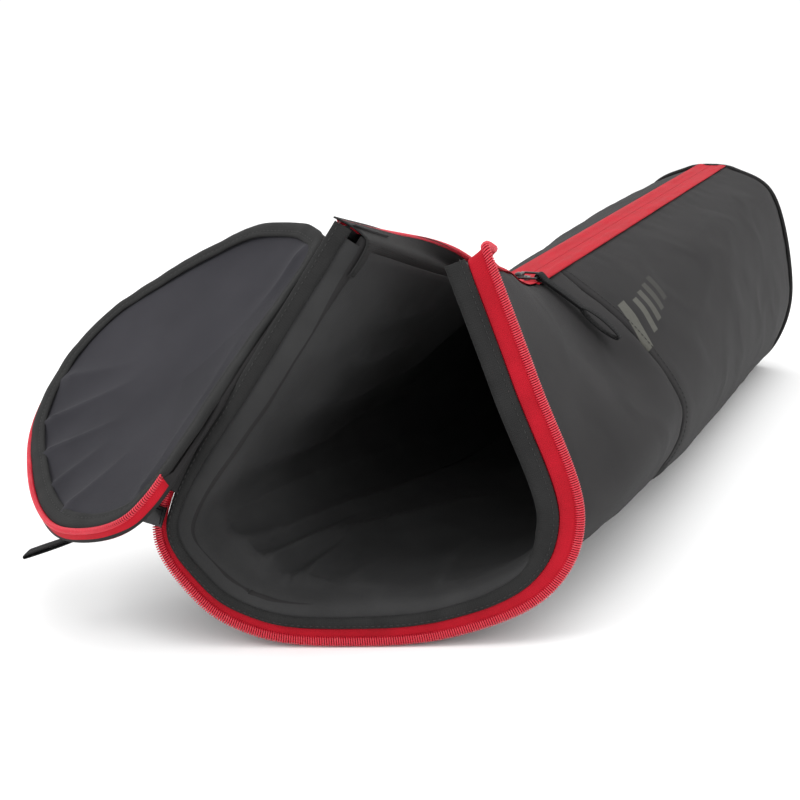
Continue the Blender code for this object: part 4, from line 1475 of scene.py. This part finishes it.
    def build(self) -> None:
        """Builds the flap."""
        self.shell()
        self.lining()
        self.edge()


# ------------------------------------------------------------------------------------------------ small parts
@dataclass(frozen=True)
class Place:
    """A point with three square directions of its own."""

    at: np.ndarray
    x: np.ndarray
    y: np.ndarray
    z: np.ndarray

    def point(self, a: Any, b: Any, c: Any) -> np.ndarray:
        """The point, or the points, that lie so far along the three directions."""
        a, b, c = (np.asarray(value, float)[..., None] for value in (a, b, c))
        return self.at + a * self.x + b * self.y + c * self.z


def block(built: bmesh.types.BMesh, place: Place, low: Sequence[float], high: Sequence[float], bevel: float) -> None:
    """Adds a rounded block between two corners given in a place's own directions."""
    made = bmesh.ops.create_cube(built, size=1.0)["verts"]
    low, high = np.array(low), np.array(high)
    for v in made:
        v.co = Vector(place.point(*(low + (np.array(v.co) + 0.5) * (high - low))))
    edges = list({e for v in made for e in v.link_edges})
    bmesh.ops.bevel(built, geom=edges, offset=bevel, segments=3, profile=0.5, affect="EDGES", clamp_overlap=True)


def barrel(built: bmesh.types.BMesh, place: Place, reach: float, radius: float) -> None:
    """Adds a round bar along a place's first direction, with rounded ends."""
    made = bmesh.ops.create_uvsphere(built, u_segments=20, v_segments=12, radius=1.0)["verts"]
    for v in made:
        long = math.copysign(min(abs(v.co.z), 1.0) ** 0.35, v.co.z)
        v.co = Vector(place.point(long * reach, v.co.x * radius, v.co.y * radius))


def closed_blocks(name: str, *parts: Callable[[bmesh.types.BMesh], None]) -> bpy.types.Mesh:
    """Makes one mesh out of several solid parts."""
    built = bmesh.new()
    for part in parts:
        part(built)
    bmesh.ops.recalc_face_normals(built, faces=built.faces)
    return to_mesh(name, built)


def tab_path(length: float, hole: float, half: float, split: float, spread: float) -> np.ndarray:
    """The closed side view of a folded tab: along it and away from its middle."""
    along = np.linspace(0.0, length, 70)
    neck = np.clip(1 - along / 0.006, 0, 1)
    neck = neck * neck * (3 - 2 * neck)
    loop = np.clip((along - split) / (length - split), 0, 1)
    away = half + (hole - half) * neck + spread * np.sin(math.pi * loop) ** 0.6
    turn = np.linspace(-0.5, -1.5, 15)[1:-1] * math.pi
    bend = np.stack([hole * np.cos(turn), hole * np.sin(turn)], axis=1)
    lower = np.stack([along, -away], axis=1)[::-1]
    return np.vstack([np.stack([along, away], axis=1), lower, bend])


@dataclass(frozen=True)
class Pull:
    """A slider's bail and tab: where they turn and how they lie."""

    name: str
    bail_body: Body
    tab_body: Body
    hinge: tuple[float, float, float]
    axis: np.ndarray
    bail_way: np.ndarray
    tab_way: np.ndarray
    half: float
    reach: float
    length: float
    split: float
    spread: float
    twist: float

    def build(self, looks: Looks) -> None:
        """Builds the bail, the tab and its red stitching."""
        hinge = np.array(self.hinge)
        axis, way = unit(self.axis), unit(self.bail_way)
        arm, inner = self.half + 0.0016, self.half
        corners = [(-inner, 0.0), (-arm, 0.0), (-arm, self.reach), (arm, self.reach), (arm, 0.0), (inner, 0.0)]
        line = evenly(np.array([hinge + a * axis + b * way for a, b in corners]), 90)
        line[1:-1] = relaxed(line, 6)[1:-1]
        name = f"{self.name}_pull_bail"
        link(
            name,
            wire(name, [(line, 1.0)], CORD_RADIUS, 3),
            looks.metal,
            self.bail_body,
            [f"{self.name}_pull_ring"],
        )

        bar, way = hinge + way * self.reach, unit(self.tab_way)
        path = tab_path(self.length, 0.00185, 0.00062, self.split, self.spread)
        share = np.clip(path[:, 0] / self.length, 0, 1)
        turn = self.twist * share**1.2
        face = np.cross(axis, way)
        wide = np.cos(turn)[:, None] * axis + np.sin(turn)[:, None] * face
        away = np.cross(wide, way)
        sway = 0.0016 * np.sin(share * 4.2)
        centres = bar + path[:, :1] * way + path[:, 1:] * away + sway[:, None] * axis
        tangent = np.roll(centres, -1, axis=0) - np.roll(centres, 1, axis=0)
        wide = unit_rows(wide)
        proud = unit_rows(np.cross(tangent, wide))
        section = tape_section(0.0100, WEBBING_THICK, 0.0, 5)
        name = f"{self.name}_tab_webbing"
        mesh = swept(name, section, centres, wide, proud, closed=True)
        piece = link(name, mesh, looks.webbing, self.tab_body, [f"{self.name}_pull_tab"])
        stop = int(70 * self.split / self.length)
        side = np.sign((centres[30] - bar - way * path[30, 0]) @ proud[30]) or 1.0
        for label, shift in (("a", -0.0024), ("b", 0.0024)):
            seam = centres[9:stop] + wide[9:stop] * shift + proud[9:stop] * side * 0.00062
            name = f"{self.name}_tab_stitch_{label}"
            mesh = stitched(name, seam, proud[9:stop] * side, 0.0022, TAB_STITCH)
            link(name, mesh, looks.red_thread, self.tab_body)


@dataclass
class Hardware:
    """The two sliders with their pulls, the zipper's stops and the strap rings."""

    looks: Looks

    def sliders(self) -> None:
        """Builds both sliders, their bails and their tabs."""
        across = np.array([1.0, 0.0, 0.0])
        top = Place(
            np.array([0.0, FORM.slider_y, FORM.spine_height(FORM.slider_y)]), FORM.spine_way, across, FORM.spine_up,
        )
        pin = Place(top.point(0.0, 0.0, LUG_RISE), top.x, top.y, top.z)
        mesh = closed_blocks(
            "top_slider_metal",
            lambda b: block(b, top, (-0.0060, -0.0048, 0.0004), (0.0060, 0.0048, 0.0017), 0.0006),
            lambda b: block(b, top, (-0.0044, -0.0034, 0.0014), (0.0044, 0.0034, 0.0023), 0.0004),
            lambda b: block(b, top, (-0.0058, -0.0009, -0.0052), (0.0058, 0.0009, 0.0012), 0.0003),
            lambda b: block(b, top, (-0.0060, -0.0048, -0.0059), (0.0060, 0.0048, -0.0046), 0.0006),
            lambda b: barrel(b, pin, 0.0058, 0.0017),
            lambda b: barrel(b, Place(top.point(-0.0042, 0.0, 0.0036), top.x, top.y, top.z), 0.0026, 0.0026),
        )
        link("top_slider_metal", mesh, self.looks.metal, Body.TOP_SLIDER, ["top_slider"])
        Pull(
            "top", Body.TOP_BAIL, Body.TOP_TAB, tuple(pin.at), FORM.spine_way, across,
            np.array([math.cos(TAB_DROP), 0.0, -math.sin(TAB_DROP)]),
            0.0064, 0.0135, 0.068, 0.036, 0.0024, 0.12,
        ).build(self.looks)  # fmt: skip

        along = unit(LOWER_SLIDER_WAY)
        away = unit(np.cross(along, FORM.out))
        away = away if away[0] < 0 else -away
        low = Place(np.array(LOWER_SLIDER_AT), along, away, np.array(FORM.out))
        hinge = LOWER_BAIL_HINGE
        axis = unit(LOWER_BAIL_AXIS)
        way = unit(LOWER_BAIL_WAY)
        knob = Place(np.array(hinge), axis, way, np.cross(axis, way))
        mesh = closed_blocks(
            "lower_slider_metal",
            lambda b: block(b, low, (-0.0054, -0.0045, 0.0023), (0.0054, 0.0058, 0.0036), 0.0006),
            lambda b: block(b, low, (-0.0038, -0.0030, 0.0033), (0.0038, 0.0042, 0.0042), 0.0004),
            lambda b: block(b, low, (-0.0054, -0.0045, -0.0036), (0.0054, 0.0058, -0.0023), 0.0006),
            lambda b: block(b, low, (-0.0050, 0.0030, -0.0030), (0.0050, 0.0056, 0.0030), 0.0005),
            lambda b: barrel(b, knob, 0.0044, 0.0014),
        )
        link("lower_slider_metal", mesh, self.looks.metal, Body.LOWER_SLIDER, ["lower_slider"])
        Pull(
            "lower", Body.LOWER_BAIL, Body.LOWER_TAB, hinge, axis, way, way,
            0.0048, 0.0125, 0.066, 0.034, 0.0003, 0.15,
        ).build(self.looks)  # fmt: skip

    def stops(self) -> None:
        """Builds the small stops at the mouth's corner and at the closed end."""
        u = np.array([8.31, 8.33])
        spots = FORM.on_mouth(drawn_in(smooth_through(range(11), FORM.outline, u), 0.0015, FORM.middle), 0.0004)
        x = unit(spots[1] - spots[0])
        place = Place(spots[0], x, np.cross(np.array(FORM.out), x), np.array(FORM.out))
        mesh = closed_blocks(
            "mouth_stop_metal",
            lambda b: block(b, place, (-0.0019, -0.0019, -0.0011), (0.0019, 0.0019, 0.0011), 0.0005),
        )
        link("mouth_stop_metal", mesh, self.looks.metal, Body.CASE, ["zip_stop_mouth"])
        spot = np.array([0.0, 0.379, FORM.spine_height(0.379) - 0.0030])
        place = Place(spot, np.array([1.0, 0.0, 0.0]), FORM.spine_way, FORM.spine_up)
        mesh = closed_blocks(
            "spine_stop_metal",
            lambda b: block(b, place, (-0.0045, -0.0005, -0.0015), (0.0045, 0.0005, 0.0015), 0.0002),
        )
        link("spine_stop_metal", mesh, self.looks.metal, Body.CASE, ["zip_stop_spine"])

    def strap_rings(self) -> None:
        """Builds both strap rings with their webbing loops and box stitching."""
        for label, body, bar, way, panel in (
            ("front", Body.FRONT_RING, FRONT_RING_BAR, (0.0, 1.0, 0.0), (0.0, 0.0, 1.0)),
            ("rear", Body.REAR_RING, REAR_RING_BAR, (0.0, 0.0, -1.0), (0.0, -1.0, 0.0)),
        ):
            bar, way, panel = np.array(bar), np.array(way), np.array(panel)
            side = np.array([1.0, 0.0, 0.0])
            turn = np.linspace(0.0, math.pi, 40)
            arc = [
                bar + RING_HALF_WIDTH * math.cos(a) * side + (RING_NECK + RING_BOW * math.sin(a)) * way
                for a in turn
            ]
            line = evenly(
                np.array([
                    bar - RING_HALF_WIDTH * side,
                    bar + RING_HALF_WIDTH * side,
                    *arc,
                    bar - RING_HALF_WIDTH * side,
                ]),
                120,
            )[:-1]
            line = relaxed(line, 3, closed=True)
            name = f"{label}_ring_metal"
            link(
                name,
                wire(name, [(line, 1.0)], RING_RADIUS, 4, cyclic=True),
                self.looks.metal,
                body,
                [f"{label}_strap_ring"],
            )

            turn = np.linspace(0.5, -0.5, 17) * math.pi
            back = np.linspace(0.0, 1.0, 26)[1:]
            ease = np.clip(back * 3.0, 0, 1) ** 2 * (3 - 2 * np.clip(back * 3.0, 0, 1))
            path = np.vstack([
                np.stack([np.linspace(-0.0275, -0.0005, 24), np.full(24, LOOP_OUT)], axis=1),
                np.stack([LOOP_OUT * np.cos(turn), LOOP_OUT * np.sin(turn)], axis=1),
                np.stack([-0.024 * back, -LOOP_OUT + 0.0038 * ease], axis=1),
            ])  # fmt: skip
            centres = relaxed(evenly(bar + path[:, :1] * way + path[:, 1:] * panel, 90), 2)
            wide = np.repeat(side[None], len(centres), axis=0)
            proud = unit_rows(np.cross(np.gradient(centres, axis=0), wide))
            name = f"{label}_loop_webbing"
            mesh = swept(name, tape_section(0.0215, 0.0016, 0.0, 7), centres, wide, proud)
            piece = link(name, mesh, self.looks.webbing, Body.CASE, [f"{label}_strap_loop"])
            box = [
                (-0.008, -0.009),
                (0.008, -0.009),
                (0.008, -0.022),
                (-0.008, -0.022),
                (-0.008, -0.009),
                (0.008, -0.022),
            ]
            seam = evenly(np.array([bar + a * side + b * way + 0.0001 * panel for a, b in box]), 90)
            name = f"{label}_loop_stitches"
            mesh = stitched(name, seam, np.repeat(-panel[None], 90, axis=0), 0.0024, BOX_STITCH)
            link(name, mesh, self.looks.grey_thread, Body.CASE)

    def build(self) -> None:
        """Builds every hard part and its webbing."""
        self.sliders()
        self.stops()
        self.strap_rings()


# ------------------------------------------------------------------------------------------------ studio
def studio(looks: Looks) -> None:
    """A pale floor, soft lights and the camera."""
    built = bmesh.new()
    bmesh.ops.create_grid(built, x_segments=1, y_segments=1, size=8.0)
    bmesh.ops.translate(built, verts=built.verts, vec=(0.0, 0.0, -0.0008))
    floor = bpy.data.objects.new("studio_floor", to_mesh("studio_floor", built))
    floor.data.materials.append(looks.floor)
    bpy.context.scene.collection.objects.link(floor)
    for name, place, size, power in (
        ("key_light", (-1.5, -2.0, 2.2), 1.6, 30.0),
        ("top_light", (0.3, 0.2, 2.6), 2.4, 26.0),
        ("side_light", (2.3, -0.6, 1.2), 1.4, 8.0),
    ):
        light = bpy.data.lights.new(name, "AREA")
        light.size, light.energy = size, power
        lamp = bpy.data.objects.new(name, light)
        lamp.location = place
        lamp.rotation_euler = (Vector((0.0, -0.1, 0.1)) - Vector(place)).to_track_quat("-Z", "Y").to_euler()
        bpy.context.scene.collection.objects.link(lamp)
    world = bpy.data.worlds.new("studio")
    world.use_nodes = True
    world.node_tree.nodes["Background"].inputs["Color"].default_value = (1.0, 1.0, 1.0, 1.0)
    world.node_tree.nodes["Background"].inputs["Strength"].default_value = 1.06
    bpy.context.scene.world = world
    data = bpy.data.cameras.new("view")
    data.lens, data.sensor_width = 56.25, 36.0
    camera = bpy.data.objects.new("view", data)
    camera.location = (0.296, -0.969, 0.278)
    camera.rotation_euler = (math.pi / 2 - VIEW_TILT, 0.0, VIEW_TURN)
    bpy.context.scene.collection.objects.link(camera)
    bpy.context.scene.camera = camera
    bpy.context.scene.view_settings.view_transform = "Standard"


def main() -> None:
    """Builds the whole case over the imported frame."""
    logging.basicConfig(level=logging.INFO, format="%(name)s: %(message)s")
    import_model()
    looks = Looks()
    mouth = Mouth(looks)
    for part in (PaddedBody(looks), Lining(looks, mouth), mouth, Flap(looks), Hardware(looks)):
        part.build()
    studio(looks)
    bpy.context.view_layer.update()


if __name__ == "__main__":
    main()
